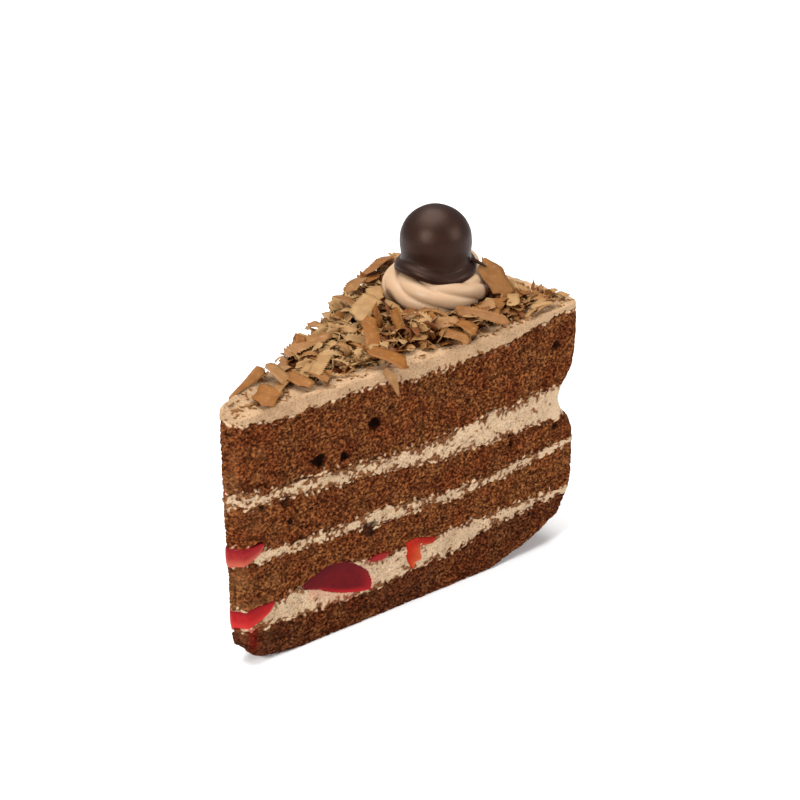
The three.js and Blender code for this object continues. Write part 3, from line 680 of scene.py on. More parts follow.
def rim_share(points):
    """1 on the cake's round outer edge and 0 on the cut faces."""
    return smooth_step((from_axis(points) - RIM(points[:, 2]) + 1.6) / 1.2)


def seam_nearness(points, name, reach):
    """1 at a layer's cut seams and 0 further from them than reach."""
    near = np.full(len(points), FAR)
    for seam in LAYERS[name]:
        if seam not in ("base", "top"):
            near = np.minimum(near, np.abs(points[:, 2] - seam_height(seam, points[:, :2])))
    return np.clip(1 - near / reach, 0, 1)


def sponge_relief(name, seed):
    """The relief of a sponge's side and its attributes, as a function of its points."""

    def relief(points):
        bumps, hollow, fold = crumb_relief(points, seed)
        crust = rim_share(points)
        open_crumb = 1 - 0.6 * crust
        smooth = 0.12 * noise(points, 2.4, seed + 9) + 0.25 * noise(points, 9, seed + 10)
        holes, dark = air_holes(points)
        move = (bumps * open_crumb + smooth * crust) * (1 - 0.7 * dark)
        smear = seam_nearness(points, name, 2.4) + 0.9 * noise(points, 0.9, seed + 11) - 0.95
        dried = smooth_step((26 - points[:, 1]) / 14) * (0.1 + 0.7 * noise(points, 4, seed + 12))
        values = {
            # hollow carries painted shade for pores and air holes, fold painted shade for folds and cracks.
            "hollow": np.maximum(hollow * open_crumb, dark),
            "fold": fold * open_crumb,
            "crust": crust,
            "smear": smooth_step(smear / 0.3) * (1 - crust),
            "juice": juice(points),
            "damp": damp(points, name) * (1 - crust),
            "dry": np.clip(dried, 0, 1),
        }
        return move - holes - pockets(points), values

    return relief


def cream_side(name, seed, crumbs, rough):
    """The same for cream, with more or fewer crumbs dragged over it and more or less relief."""

    def relief(points):
        bumps, hollow = cream_relief(points, rough, seed)
        bits = 0.9 * noise(points, 0.75, seed + 20) + 0.6 * noise(points, 2.8, seed + 21)
        near = seam_nearness(points, name, 2.2)
        holes, dark = air_holes(points)
        clean = smooth_step((from_axis(points) - CLEAN_CREAM[0]) / CLEAN_CREAM[1])
        calm = 1 - 0.5 * clean
        crumbed = smooth_step((bits + 0.9 * near - 0.66 + crumbs - 0.5 * clean) / 0.2)
        values = {
            # hollow and dark carry painted shade for the pinholes and air holes.
            "hollow": hollow * calm,
            "dark": dark,
            "clean": clean,
            "crumbs": crumbed * (1 - rim_share(points)),
            "juice": juice(points),
        }
        return bumps * calm * (1 - dark) + 0.1 - holes - pockets(points), values

    return relief


# ---------------------------------------------------------------- fruit


def turns(count):
    """That many directions round a circle."""
    return np.linspace(0, 2 * math.pi, count, endpoint=False)


def face_fruit(name, fruit, material):
    """A cherry cut by the knife: a wet, slightly domed cut face over the round of the fruit."""
    around, rings = 96, 14
    angle = turns(around)
    wave = 1 + 0.012 * np.sin(5 * angle + 1) + 0.01 * np.sin(9 * angle)
    first = fruit["half"][0] * np.cos(angle) * wave
    second = np.maximum(drawn_tall(fruit, first) * np.sin(angle) * wave, -flat_level(fruit, first))
    lift = 0.35 * fruit["half"][1] if fruit["drop"] < fruit["half"][1] else 0.0
    shares = np.arange(1, rings + 1) / rings
    front, back = [], []
    for share in shares:
        x, y = first * share, lift + (second - lift) * share
        proud = 0.38 * (1 - share**6) - 0.1
        sunk = fruit["deep"] * np.sqrt(np.clip(1 - share**2, 0, 1)) + 0.1
        front.append(from_face(fruit, x, y, np.full(around, -proud)))
        back.append(from_face(fruit, x, y, np.full(around, sunk)))
    hub = np.array([0.0])
    behinds = (-0.28, fruit["deep"] + 0.1)
    front_hub, back_hub = (from_face(fruit, hub, hub + lift, hub + behind)[0] for behind in behinds)
    rows = np.array(front + back[-2::-1])
    points, faces = closed(rows, front_hub, back_hub)
    if fruit["side"] > 0:
        faces = [face[::-1] for face in faces]
    ring_share = np.concatenate([shares, np.ones(rings - 1)])
    share = np.concatenate([[0], np.repeat(ring_share, around), [1]])
    turn = np.concatenate([[0], np.tile(angle, len(rows)), [0]])
    # Painted light and shade: pale lightens the rim on the side towards -50 degrees in the fruit's face,
    # deep darkens the rim away from it.
    light_side = 0.5 + 0.5 * np.cos(turn - math.radians(-50))
    values = {
        "pale": smooth_step((share - 0.55) / 0.45) * light_side**1.5,
        "deep": share**2 * (1 - light_side),
    }
    mesh_piece(name + "_flesh", points, faces, material, [name], values=values)


def crescent(name, material):
    """What shows of a cherry slice that cream half covers, domed between its two edges."""
    steps, count = 60, 24
    outer, inner = wedge_edges(steps)
    turn = turns(count)[::-1]
    across = 0.5 - 0.5 * np.cos(turn)
    inward = np.append(face_axes(1)[1], 0)
    rows, pale, deep = [], [[0]], [[0]]
    for i, share in enumerate(np.linspace(0, 1, steps + 1)):
        spot = outer[i] + (inner[i] - outer[i]) * across[:, None]
        width = np.linalg.norm(inner[i] - outer[i])
        proud = np.where(np.sin(turn) > 0, 0.12 + 0.13 * width, 1.2) * np.sin(turn)
        place = np.column_stack([polar(spot[:, 0], HALF_ANGLE), spot[:, 1]])
        rows.append(place - proud[:, None] * inward)
        # Painted light and shade: pale lightens the inner edge towards the lower point, deep darkens the
        # outer edge near the tail.
        pale.append(np.clip(across + share - 0.8, 0, 1) * 0.8)
        deep.append(np.clip(1.2 - 2.2 * share, 0, 1) * (1 - across))
    values = {"pale": np.concatenate([*pale, [0]]), "deep": np.concatenate([*deep, [0]])}
    ringed_piece(name + "_flesh", np.array(rows), material, [name], values)


def tip_fruit(name, fruit, material):
    """A cherry that the knife cut across the blunt tip, bent round the tip's corners."""
    steps, count = 70, 24
    plan = outline(fruit["z"])
    along = along_tip(plan)
    order = np.argsort(along)
    order = order[np.abs(along[order]) < 30]
    normals = outward(plan)
    turn = turns(count)
    up, level = np.sin(turn), np.cos(turn)
    rows = []
    for share in np.linspace(-1, 1, steps + 1):
        at = fruit["along"] + share * fruit["length"]
        spot = np.array([np.interp(at, along[order], plan[order, k]) for k in range(2)])
        normal = np.array([np.interp(at, along[order], normals[order, k]) for k in range(2)])
        normal /= np.linalg.norm(normal)
        height = fruit["height"] * math.sqrt(max(1 - share**2, 0.0)) + 0.1
        proud = np.where(up > 0, 0.42 * np.abs(up) ** 0.6, 1.9 * up * height / fruit["height"])
        z = tip_middle_height(fruit, share) + height * level
        rows.append(np.column_stack([spot + proud[:, None] * normal, z]))
    rows = np.array(rows)
    rows[:, :, 2] += 0.15 * noise(rows.reshape(-1, 3), 1.5, 90).reshape(rows.shape[:2])
    # Painted light and shade: pale lightens the lower part of the fruit, deep darkens its upper part and
    # its ends.
    values = {
        "pale": np.concatenate([[0], np.tile(smooth_step((0.2 - level) / 1.1), steps + 1), [0]]),
        "deep": np.concatenate([[1], np.tile(smooth_step((level - 0.35) / 0.6), steps + 1), [1]]),
    }
    ringed_piece(name + "_flesh", rows, material, [name], values)


# ---------------------------------------------------------------- rosette and chocolate-dipped cherry


def ring_round(middle, reach, angle, height):
    """A ring about an upright axis through a middle, reach and height each one number or one a point."""
    x, y = middle["x"] + reach * np.cos(angle), middle["y"] + reach * np.sin(angle)
    return np.column_stack([x, y, np.broadcast_to(height, angle.shape)])


def rosette_foot():
    """The height of the icing under the rosette's middle."""
    return top_height(np.array([[ROSETTE["x"], ROSETTE["y"]]]))[0]


def rope_rows():
    """The rope of piped cream as rings of points about its middle line."""
    steps, around = 320, 72
    base = rosette_foot()
    angle = turns(around)
    rows = []
    for share in np.linspace(0, 1, steps + 1):
        turn = ROPE_START - share * ROSETTE["turns"] * 2 * math.pi
        climb = smooth_step((share - 0.68) / 0.22) * (1 - 0.5 * smooth_step((share - 0.93) / 0.07))
        size = ROSETTE["tube"] * (0.5 + 0.5 * smooth_step(share / 0.14))
        size = size * (1 - 0.3 * smooth_step((share - 0.85) / 0.15))
        if share > ROPE_END:
            size *= math.sqrt(max(1 - ((share - ROPE_END) / 0.016) ** 2, 0.01))
        wander = 0.35 * math.sin(9 * share + 1) + 0.25 * np.sin(2 * angle + 14 * share)
        fold = np.abs(np.cos(0.5 * ROSETTE["ridges"] * (angle - ROPE_TWIST * share) + wander))
        tail = smooth_step((share - 0.94) / 0.06)
        reach = size * (0.84 + 0.24 * fold**0.5) * (1 - 0.45 * tail)
        out = ROSETTE["ring"] + 0.5 * climb + 3.4 * tail + reach * np.cos(angle)
        up = np.maximum(size * 0.9 + ROSETTE["rise"] * climb + reach * np.sin(angle), -0.4)
        rows.append(ring_round(ROSETTE, out, np.full_like(angle, turn), base + up))
    return np.array(rows)


def build_rosette(material):
    """The rope, over a low bed of cream that fills its middle."""
    rows = rope_rows()
    rows[..., 2] += 0.1 * noise(rows.reshape(-1, 3), 2.2, 95).reshape(rows.shape[:2])
    ringed_piece("rosette_rope", rows, material, ["rosette"])
    ring = ROSETTE["ring"]
    outer = through([(0, ring * 1.08), (5, ring), (9, ring * 0.8), (11, 1)])
    base, angle = rosette_foot(), turns(60)
    rings = [ring_round(ROSETTE, outer(up), angle, base + up) for up in np.linspace(-0.3, 11, 24)]
    ringed_piece("rosette_bed", np.array(rings), material)


def build_drip(material):
    """A drip of the coat that lies out over the cream."""
    rings = []
    angle = turns(16)
    for share in np.linspace(0, 1, 24):
        out = BALL["radius"] + 4.6 * share
        thick = 0.75 * (1 - 0.55 * share) * math.sqrt(max(1 - share**6, 0.02))
        turn = DRIP_TURN + 0.06 * share
        height = BALL["z"] - BALL["radius"] * 0.5 - 2.6 * share**1.3
        spot = np.array([BALL["x"] + out * math.cos(turn), BALL["y"] + out * math.sin(turn), height])
        across = np.array([-math.sin(turn), math.cos(turn), 0])
        upright = np.array([0, 0, 1])
        rings.append(spot + thick * (np.cos(angle)[:, None] * across + np.sin(angle)[:, None] * upright))
    rings = np.array(rings)
    values = {"thin": np.zeros(rings.shape[0] * rings.shape[1] + 2)}
    ringed_piece("chocolate_drip", rings, material, values=values)


# The dipped cherry from its top to under its foot: distance from its axis and height over its middle,
# both in its radii.
BALL_PROFILE = [
    (0.0, 1.0), (0.16, 0.985), (0.34, 0.94), (0.64, 0.77), (0.87, 0.5), (0.98, 0.18), (0.995, -0.06),
    (0.978, -0.22), (0.965, -0.34), (0.98, -0.44), (1.04, -0.5), (1.11, -0.56), (1.145, -0.64),
    (1.13, -0.73), (1.06, -0.79), (0.94, -0.8), (0.82, -0.78),
]


def build_ball(material):
    """The dipped cherry: a smooth ball over the thick wavy foot where its coat has run."""
    lengths = np.concatenate([[0], np.cumsum(np.linalg.norm(np.diff(BALL_PROFILE, axis=0), axis=1))])
    outs, ups = (through(list(zip(lengths, column))) for column in zip(*BALL_PROFILE))
    angle = np.linspace(-math.pi, math.pi, 120, endpoint=False)
    rings = []
    for spot in np.linspace(lengths[-1], 0.03, 90):
        out, up = float(outs(spot)), float(ups(spot))
        wave = smooth_step((-0.2 - up) / 0.5) * 0.012 * np.sin(2 - 5 * angle)
        height = BALL["z"] + BALL["radius"] * (up - FOOT_SAG(angle) * smooth_step((0.1 - up) / 0.7))
        rings.append(ring_round(BALL, BALL["radius"] * (out + wave), angle, height))
    rings = np.array(rings)
    flat = rings.reshape(-1, 3)
    shift = 0.14 * noise(flat, 7, 97) + 0.02 * noise(flat, 2.2, 98)
    flat += (flat - (BALL["x"], BALL["y"], BALL["z"])) / BALL["radius"] * shift[:, None]
    thin = np.repeat(smooth_step((0.09 - np.linspace(0, 1, len(rings))) / 0.06), rings.shape[1])
    values = {"thin": np.concatenate([[1], thin, [0]])}
    ringed_piece("chocolate_coat", rings, material, ["chocolate_ball"], values)


# ---------------------------------------------------------------- chocolate shavings

# How deep the heap lies, and how wide a strip beside the right-hand cut face stays bare, each
# against the distance from the cake's axis.
HEAP_DEPTH = through([
    (32, 0), (42, 0.3), (48, 1.8), (62, 1.6), (74, 2.2),
    (86, 3.8), (98, 4.2), (114, 3.4), (121, 1.6), (128, 0.4),
])
BARE_STRIP = through([
    (32, 3), (40, 1.6), (50, 2.2), (60, 3.4), (78, 2.2), (90, 1), (100, 1.6), (114, 1.6), (130, 2.4),
])
TOP_RIM = RIM(79)  # how far the rim reaches at the foot of the heap
HEAP_START = 31  # scattered flakes start this far from the cake's axis
CORE_START = 40  # and the mound under them this far
CORE_DEPTH = 0.6  # how far the heap's core is sunk into the icing
CORE_MARGINS = {"rim": 7, "left": 0.6, "right": 4.4}  # the right one is beyond the bare strip
FLAKE_THICK = 0.24
FLAKE_STEPS = 1.9  # cross-sections for each millimetre of a flake
LEFTMOST = -35.2  # no flake reaches further out than this


def from_rosette(plan):
    """Distance from the rosette's middle."""
    return np.hypot(plan[..., 0] - ROSETTE["x"], plan[..., 1] - ROSETTE["y"])


def heap_depth(plan):
    """How deep the heap of shavings lies over the icing."""
    radius = from_axis(plan)
    right = smooth_step((from_right_face(plan) - BARE_STRIP(radius)) / 7)
    left = smooth_step((from_left_face(plan) + 3) / 5)
    rim = smooth_step((TOP_RIM - radius + 2) / 6)
    near = 0.35 + 0.65 * smooth_step((from_rosette(plan) - 16) / 9)
    uneven = 1 + 0.2 * ripple(plan[..., 0] * 3, plan[..., 1] * 2, 5)
    return HEAP_DEPTH(radius) * right * left * rim * near * uneven


def flake(start, end, width, roll, bend, twist, curl, teeth, seed, ends):
    """A thin shaving: its points, its faces, how far each point lies from its middle line, and how
    many of its last faces make its edge. It turns through bend along its length, through twist about
    it and through curl across it, teeth is how deep its long edges are serrated, and ends is the
    share of its length over which each end draws in. Its ends are torn askew."""
    start, end = np.asarray(start, float), np.asarray(end, float)
    length = np.linalg.norm(end - start)
    along = (end - start) / length
    level = np.array([-along[1], along[0], 0.0]) / max(np.hypot(*along[:2]), 1e-6)
    rise = np.cross(along, level)
    bend = bend if abs(bend) > 0.01 else 0.01
    radius = 0.5 * length / math.sin(bend / 2)
    steps = int(np.clip(abs(radius * bend) * FLAKE_STEPS, 6, 40))
    across = 5
    draw = np.random.default_rng(seed)
    share = np.linspace(0, 1, steps + 1)
    drawn_in = np.minimum(1, np.minimum(share / ends[0], (1 - share) / ends[1])) ** 0.7
    place = np.linspace(-1, 1, across)
    reach = 0.5 * width * (0.12 + 0.88 * drawn_in[:, None]) * place
    phase = draw.uniform(0, 6, 2)
    saw = np.where(np.arange(steps + 1) % 2, 1.0, -1.0) * teeth
    for edge, side in ((0, -1), (-1, 1)):
        wave = 0.04 * width * np.sin(7 * share + phase[edge])
        reach[:, edge] += side * (wave + (saw + draw.uniform(-0.6, 0.6, steps + 1) * teeth) * drawn_in)
    slide = draw.uniform(-0.6, 0.6) * reach
    slide[[0, -1]] += draw.uniform(-0.06, 0.22, (2, across)) * width * np.array([[-1], [1]])
    angle = bend * (share - 0.5)
    turn = roll + twist * (share - 0.5)
    side = np.cos(turn)[:, None] * level + np.sin(turn)[:, None] * rise
    up = np.cos(turn)[:, None] * rise - np.sin(turn)[:, None] * level
    middle = 0.5 * (start + end) + radius * np.sin(angle)[:, None] * along
    middle = middle + (radius * (np.cos(angle) - math.cos(bend / 2)))[:, None] * up
    outward_up = up * np.cos(angle)[:, None] + along * np.sin(angle)[:, None]
    forward = along * np.cos(angle)[:, None] - up * np.sin(angle)[:, None]
    lift = 0.5 * curl * reach**2 / max(0.5 * width, 0.1)
    spots = middle[:, None] + side[:, None] * reach[..., None] + outward_up[:, None] * lift[..., None]
    spots = spots + forward[:, None] * slide[..., None]
    thick = np.full((steps + 1, across), 0.5 * FLAKE_THICK)
    thick[:, [0, -1]] *= 0.4
    thick[[0, -1]] *= 0.4
    skin = outward_up[:, None] * thick[..., None]
    points = np.concatenate([(spots + skin).reshape(-1, 3), (spots - skin).reshape(-1, 3)])
    return points, *slab_faces(steps + 1, across), np.tile(reach.ravel(), 2)


# Shavings that stand out, listed one by one: start, end, width, roll in degrees, bow, curl, teeth, tone,
# and for some the share of its length over which each end draws in.
LARGE_FLAKES = [
    ((-4.0, 15.8, 79.8), (-7.4, 33.0, 81.2), 3.5, 28, 0.3, 0.1, 0.05, 0.58, 0.95, 0.04),
    ((-7.4, 34.6, 81.8), (1.0, 33.2, 79.6), 5.0, -12, 0.5, 0.1, 0.1, 0.4),
    ((3.75, 20.2, 78.9), (-0.35, 28.8, 79.3), 7.2, 0, 0.15, 0.02, 0.06, 0.66),
    ((2.6, 25, 78.8), (-1.6, 38, 79.1), 3.6, -8, 0.5, 0.05, 0.2, 0.4),
    ((2.6, 37.2, 79.4), (-4, 57, 80.2), 4.6, -10, 0.4, 0.05, 0.4, 0.2),
    ((-9.5, 45, 80.6), (-7.7, 61.8, 81.0), 5.0, 8, 0.8, 0.35, 0.5, 0.45),
    ((-3.2, 37.2, 79.2), (7, 34.8, 79.3), 4.6, 4, 0.5, 0.3, 0.2, 0.62),
    ((1.0, 41.5, 79.6), (9.2, 40.2, 79.4), 4.2, -8, 0.6, 0.5, 0.2, 0.5),
    ((-3.2, 58.6, 81), (5.2, 39.6, 79.9), 4.2, 6, 0.5, 0.1, 0.4, 0.15),
    ((-12.6, 50.8, 80), (-5.5, 58.4, 82), 3.8, 14, 0.5, 0.2, 0.4, 0.5),
    ((6.7, 63.8, 80), (0.6, 69.4, 86), 4.6, 10, -0.4, 0.05, 0.22, 0.68),
    ((8.6, 59.8, 81.6), (20.0, 61.4, 79.6), 7.0, -4, 0.4, 0.05, 0.14, 0.7),
    ((-6.1, 72.5, 83.2), (-9.1, 83.2, 85.6), 6.2, 14, 0.5, 0.1, 0.2, 0.12),
    ((-13, 88.2, 86), (-7.3, 82.9, 85), 4.6, 10, 0.4, 0.1, 0.2, 0.2),
    ((-18.7, 78.7, 84.8), (-10.5, 78.9, 82.8), 4.4, -14, 0.5, 0.1, 0.3, 0.5),
    ((-18.9, 84.6, 84.4), (-22, 94.9, 84.6), 5.0, -12, 0.8, 0.2, 0.3, 0.45),
    ((-25.3, 101.4, 83.4), (-28, 115.9, 83.8), 4.6, -14, 0.6, 0.2, 0.3, 0.55),
    ((7.2, 116.4, 90.4), (15.8, 115.0, 81.6), 8.8, 0, 0.15, 0.02, 0.06, 0.5, 0.25, 0.03),
    ((21, 98, 81.6), (16.8, 109.4, 82.4), 6.2, 8, 0.5, 0.1, 0.2, 0.6),
    ((12.4, 95.1, 82.2), (27.5, 99.8, 81.2), 3.4, 35, 0.9, 0.4, 0.25, 0.5),
    ((19.1, 114.3, 83), (23.5, 108, 82.6), 3.6, 0, 0.2, 0.05, 0.05, 0.1),
    ((27.3, 112.2, 81), (26.8, 120.2, 81.4), 1.7, 20, 0.5, 0.1, 0.1, 0.2),
    ((29.0, 106.6, 80.6), (28.6, 113, 81), 1.6, -20, 0.4, 0.1, 0.1, 0.3),
    ((25.6, 121, 81.4), (25.9, 127.5, 81.8), 1.8, 10, 0.5, 0.1, 0.2, 0.25),
    ((14.5, 90, 81.4), (24, 88.5, 80.8), 5.4, -6, 0.7, 0.2, 0.2, 0.66),
    ((16, 82.5, 80.6), (25, 84, 80), 4.4, 8, 0.6, 0.2, 0.2, 0.55),
    ((26.6, 125.6, 81.4), (31.6, 124.2, 82.1), 1.8, 8, 0.4, 0.2, 0.3, 0.3),
    ((27.4, 119, 81.2), (31.2, 120.4, 82.0), 1.8, -10, 0.4, 0.2, 0.3, 0.4),
    ((1.8, 80.3, 85.4), (7.8, 76.6, 80.4), 3.6, 60, 0.6, 0.6, 0.2, 0.6),
    ((10.6, 81.2, 82.0), (6.6, 85.8, 82.8), 4.2, 30, 0.6, 0.6, 0.2, 0.75),
    ((-3.9, 77.7, 86), (1.1, 74.8, 82), 3.0, 70, 0.5, 0.3, 0.2, 0.8),
    ((5.5, 88.4, 81.6), (11.5, 84.6, 82.6), 3.8, 20, 0.4, 0.5, 0.2, 0.62),
    ((16.2, 57.4, 78.7), (19.4, 58.6, 71.4), 3.0, 80, -0.9, 0.2, 0.15, 0.35, 0.2, 0.7),
    ((26.7, 112.6, 80.9), (30.1, 119.4, 81.2), 1.4, 25, 0.6, 0.1, 0.1, 0.12),
    ((29.4, 111.4, 80.7), (29.9, 117.4, 81.0), 1.5, -15, 0.5, 0.1, 0.15, 0.35),
    ((26.3, 122.4, 80.8), (26.5, 122.0, 83.6), 2.4, 20, 0.3, 0.05, 0.1, 0.6),
    ((27.6, 125.8, 81.4), (30.0, 123.8, 81.6), 1.6, 30, 0.4, 0.2, 0.3, 0.15),
    ((23.0, 117.5, 81.2), (27.1, 119.3, 81.6), 2.0, 15, 0.5, 0.2, 0.2, 0.45),
    ((24.2, 113.5, 81.0), (28.2, 116.4, 81.2), 1.7, -20, 0.5, 0.1, 0.2, 0.2),
]
FLAKE_COUNT = 706
FLAT_ENDS = (0.04, 0.06)
# How far a scattered flake turns along its length: nearly flat, bowed or curled, and how often.
FLAKE_BENDS = ((-0.7, 0.9), (-0.5, 0.7), (0.9, 2.2), (2.4, 4.0))
BEND_ODDS = (0.4, 0.3, 0.26, 0.04)
ROSETTE_FOOT = 16.4  # flakes keep this far from the rosette's middle
CALM_REACH = 26  # and bend less, nearer than this
BIT_COUNT = 420
TIP_BITS = 60
BITS_BEYOND = 33  # the tip's bits lie nearer the cake's axis than this
BITS_CLEAR = 17  # bits keep this far from the rosette's middle


def joined(name, flakes, tones, material, replaces=()):
    """Many loose flakes as one piece, each with a tone of its own."""
    points, faces, flat, tone, across = [], [], [], [], []
    first = 0
    for (spots, quads, edge, reach), shade in zip(flakes, tones):
        points.append(spots)
        faces += [[first + corner for corner in quad] for quad in quads]
        flat += range(len(faces) - edge, len(faces))
        tone += [shade] * len(spots)
        across.append(reach)
        first += len(spots)
    values = {"tone": tone, "across": np.concatenate(across)}
    mesh_piece(name, np.concatenate(points), faces, material, replaces, flat, values)


def both_ways(middle, half, turn, pitch):
    """The two ends of a flake about its middle, from its half length and its direction."""
    level = math.cos(pitch)
    reach = half * np.array([math.cos(turn) * level, math.sin(turn) * level, math.sin(pitch)])
    return middle - reach, middle + reach


def build_flakes(material):
    """The flakes listed one by one, and others scattered over the heap until there are enough."""
    draw = np.random.default_rng(11)
    flakes, tones = [], []
    for number, (start, end, width, roll, bow, curl, teeth, tone, *ends) in enumerate(LARGE_FLAKES):
        bend = 8 * bow / np.linalg.norm(np.subtract(start, end))
        ends = ends or FLAT_ENDS
        flakes.append(flake(start, end, width, math.radians(roll), bend, 0, curl, teeth, number, ends))
        tones.append(tone)
    while len(flakes) < FLAKE_COUNT:
        radius = math.sqrt(draw.uniform(HEAP_START**2, 128**2))
        plan = polar(radius, HALF_ANGLE * draw.uniform(-1.0, 1.0))
        level = draw.uniform(0, 1)
        standing = draw.uniform(0, 1) < 0.25
        turn, pitch = draw.uniform(0, 2 * math.pi), draw.normal(0, 0.4 if standing else 0.25)
        half = 1.5 + 3.6 * draw.uniform(0, 1) ** 1.4
        width = 1.3 + 4.0 * draw.uniform(0, 1) ** 1.4
        roll = draw.uniform(0.8, 1.5) * draw.choice((-1, 1)) if standing else draw.normal(0, 0.3)
        bend = draw.uniform(*draw.choice(FLAKE_BENDS, p=BEND_ODDS)) * (0.4 if standing else 1.0)
        twist, curl = draw.uniform(-0.9, 0.9), draw.uniform(-0.3, 0.7)
        teeth = draw.uniform(0.12, 0.4) * (draw.uniform(0, 1) < 0.65)
        paler = 0.8 if plan[0] > 0 and plan[1] > 74 else 2.2
        ends, tone = draw.uniform(0.03, 0.3, 2), draw.uniform(0, 1) ** paler
        seed = int(draw.integers(1 << 30))
        depth = heap_depth(plan)
        if from_rosette(plan) < ROSETTE_FOOT + 0.6 * half:
            continue
        if from_rosette(plan) < CALM_REACH:
            bend, roll = 0.3 * bend, 0.5 * roll
        if from_right_face(plan) < BARE_STRIP(radius) + 0.6 or depth < 0.5 * level:
            continue
        if from_left_face(plan) < 0.25 * half or radius > TOP_RIM - 0.5 * half:
            half *= 0.5
        size = (0.55 + 0.45 * min(depth / 2, 1)) * (0.7 if plan[0] > 20 else 1)
        height = top_height(plan[None])[0] + depth * (0.45 + 0.6 * level) + 0.35
        start, end = both_ways(np.array([*plan, height]), half * size, turn, pitch)
        made = flake(start, end, width * size, roll, bend, twist, curl, teeth, seed, ends)
        if made[0][:, 0].min() < LEFTMOST:
            continue
        flakes.append(made)
        tones.append(tone)
    joined("shavings_flakes", flakes, tones, material, ["shavings"])


def build_heap(material):
    """The mound of broken chocolate under the flakes, darker than them as painted shade in the gaps."""
    rows, cells, fading = 90, 50, 3
    along, across = np.arange(rows + 1) / rows, np.arange(cells + 1) / cells
    grid = []
    for share in along:
        radius = CORE_START + (TOP_RIM - CORE_MARGINS["rim"] - CORE_START) * share
        left = -HALF_ANGLE + CORE_MARGINS["left"] / radius
        right = HALF_ANGLE - (BARE_STRIP(radius) + CORE_MARGINS["right"]) / radius
        grid.append(polar(radius, left + (right - left) * across))
    plan = np.array(grid).reshape(-1, 2)
    row, cell = np.divmod(np.arange(len(plan)), cells + 1)
    from_edge = np.minimum(np.minimum(row, rows - row), np.minimum(cell, cells - cell))
    fade = np.minimum(from_edge, fading) / fading
    base = top_height(plan)
    depth = heap_depth(plan)
    spot = np.column_stack([plan, base])
    bumps = 0.5 * noise(spot, 1.6, 31) + 0.4 * noise(spot, 4, 32)
    high = base - 0.3 + fade * (0.3 + 0.5 * depth + bumps * np.minimum(depth, 1))
    points = np.concatenate([np.column_stack([plan, high]), np.column_stack([plan, base - CORE_DEPTH])])
    faces = [face[:1] + face[:0:-1] for face in slab_faces(rows + 1, cells + 1)[0]]
    mesh_piece("shavings_core", points, faces, material)


def bit_share(plan, radius):
    """How thickly bits lie: over the tip, the far right corner, the flakes, and the bare strip."""
    edge = from_right_face(plan)
    if from_rosette(plan) <= BITS_CLEAR or edge < 0.4 or from_left_face(plan) < 0.3:
        return -1.0
    if radius < BITS_BEYOND:
        return 1.0 if edge > 1.4 else 0.3
    if plan[0] > 24:
        return 0.8
    if edge > BARE_STRIP(radius):
        return 0.15
    return 0.5 * math.exp(-(BARE_STRIP(radius) - edge) / 1.2)


def build_bits(material):
    """Splinters too small to be flakes, on the bare icing, the tip and among the flakes."""
    draw = np.random.default_rng(23)
    bits, tones = [], []
    while len(bits) < BIT_COUNT:
        inner, outer = (TIP_CUT[1], BITS_BEYOND) if len(bits) < TIP_BITS else (BITS_BEYOND, 130)
        radius = math.sqrt(draw.uniform(inner**2, outer**2))
        plan = polar(radius, HALF_ANGLE * draw.uniform(-1, 1))
        turn, pitch = draw.uniform(0, 2 * math.pi), math.radians(draw.uniform(-15, 30))
        half = 0.25 + 1.1 * draw.uniform(0, 1) ** 2
        width = draw.uniform(0.3, 1.1)
        roll, tone = draw.uniform(-1, 1), draw.uniform(0, 1)
        keep = draw.uniform(0, 1)
        seed = int(draw.integers(1 << 30))
        if radius < BITS_BEYOND:
            half, width, tone = 0.3 + 0.8 * half, width + 0.2, 0.3 + 0.45 * tone
        if keep > bit_share(plan, radius):
            continue
        height = top_height(plan[None])[0] + 0.9 * heap_depth(plan) + 0.08
        bits.append(splinter(*both_ways(np.array([*plan, height]), half, turn, pitch), width, roll, seed))
        tones.append(tone)
    joined("shavings_splinters", bits, tones, material)


def splinter(start, end, width, roll, seed):
    """A bit of chocolate: a crooked little slab with four corners at each of three cross-sections."""
    draw = np.random.default_rng(seed)
    along = (end - start) / np.linalg.norm(end - start)
    level = np.array([-along[1], along[0], 0.0])
    level /= max(np.linalg.norm(level), 1e-6)
    rise = np.cross(along, level)
    side = level * math.cos(roll) + rise * math.sin(roll)
    up = -level * math.sin(roll) + rise * math.cos(roll)
    points = []
    for share in (0, 0.5, 1):
        middle = start + (end - start) * share + up * draw.uniform(-0.15, 0.15)
        half = 0.5 * width * draw.uniform(0.35, 1)
        for a, b in ((-1, -1), (1, -1), (1, 1), (-1, 1)):
            points.append(middle + side * a * half + up * b * 0.1)
    faces = [[0, 3, 2, 1], [8, 9, 10, 11]]
    for row in (0, 4):
        for k in range(4):
            faces.append([row + k, row + (k + 1) % 4, row + 4 + (k + 1) % 4, row + 4 + k])
    return np.array(points), faces, len(faces), np.tile([-half, half, half, -half], 3)


# ---------------------------------------------------------------- materials


def linear(red, green, blue):
    """A colour given as it looks on screen, 0 to 255."""
    share = [v / 255 for v in (red, green, blue)]
    return (*[v / 12.92 if v <= 0.04045 else ((v + 0.055) / 1.055) ** 2.4 for v in share], 1.0)


def new_material(name):
    material = bpy.data.materials.new(name)
    material.use_nodes = True
    tree = material.node_tree
    return material, tree, tree.nodes["Principled BSDF"]


def add(tree, kind, inputs=None, **settings):
    """A node with its settings, and a value or a link in each named input."""
    made = tree.nodes.new(kind)
    for name, value in settings.items():
        setattr(made, name, value)
    for name, value in (inputs or {}).items():
        if isinstance(value, bpy.types.NodeSocket):
            tree.links.new(value, made.inputs[name])
        else:
            made.inputs[name].default_value = value
    return made


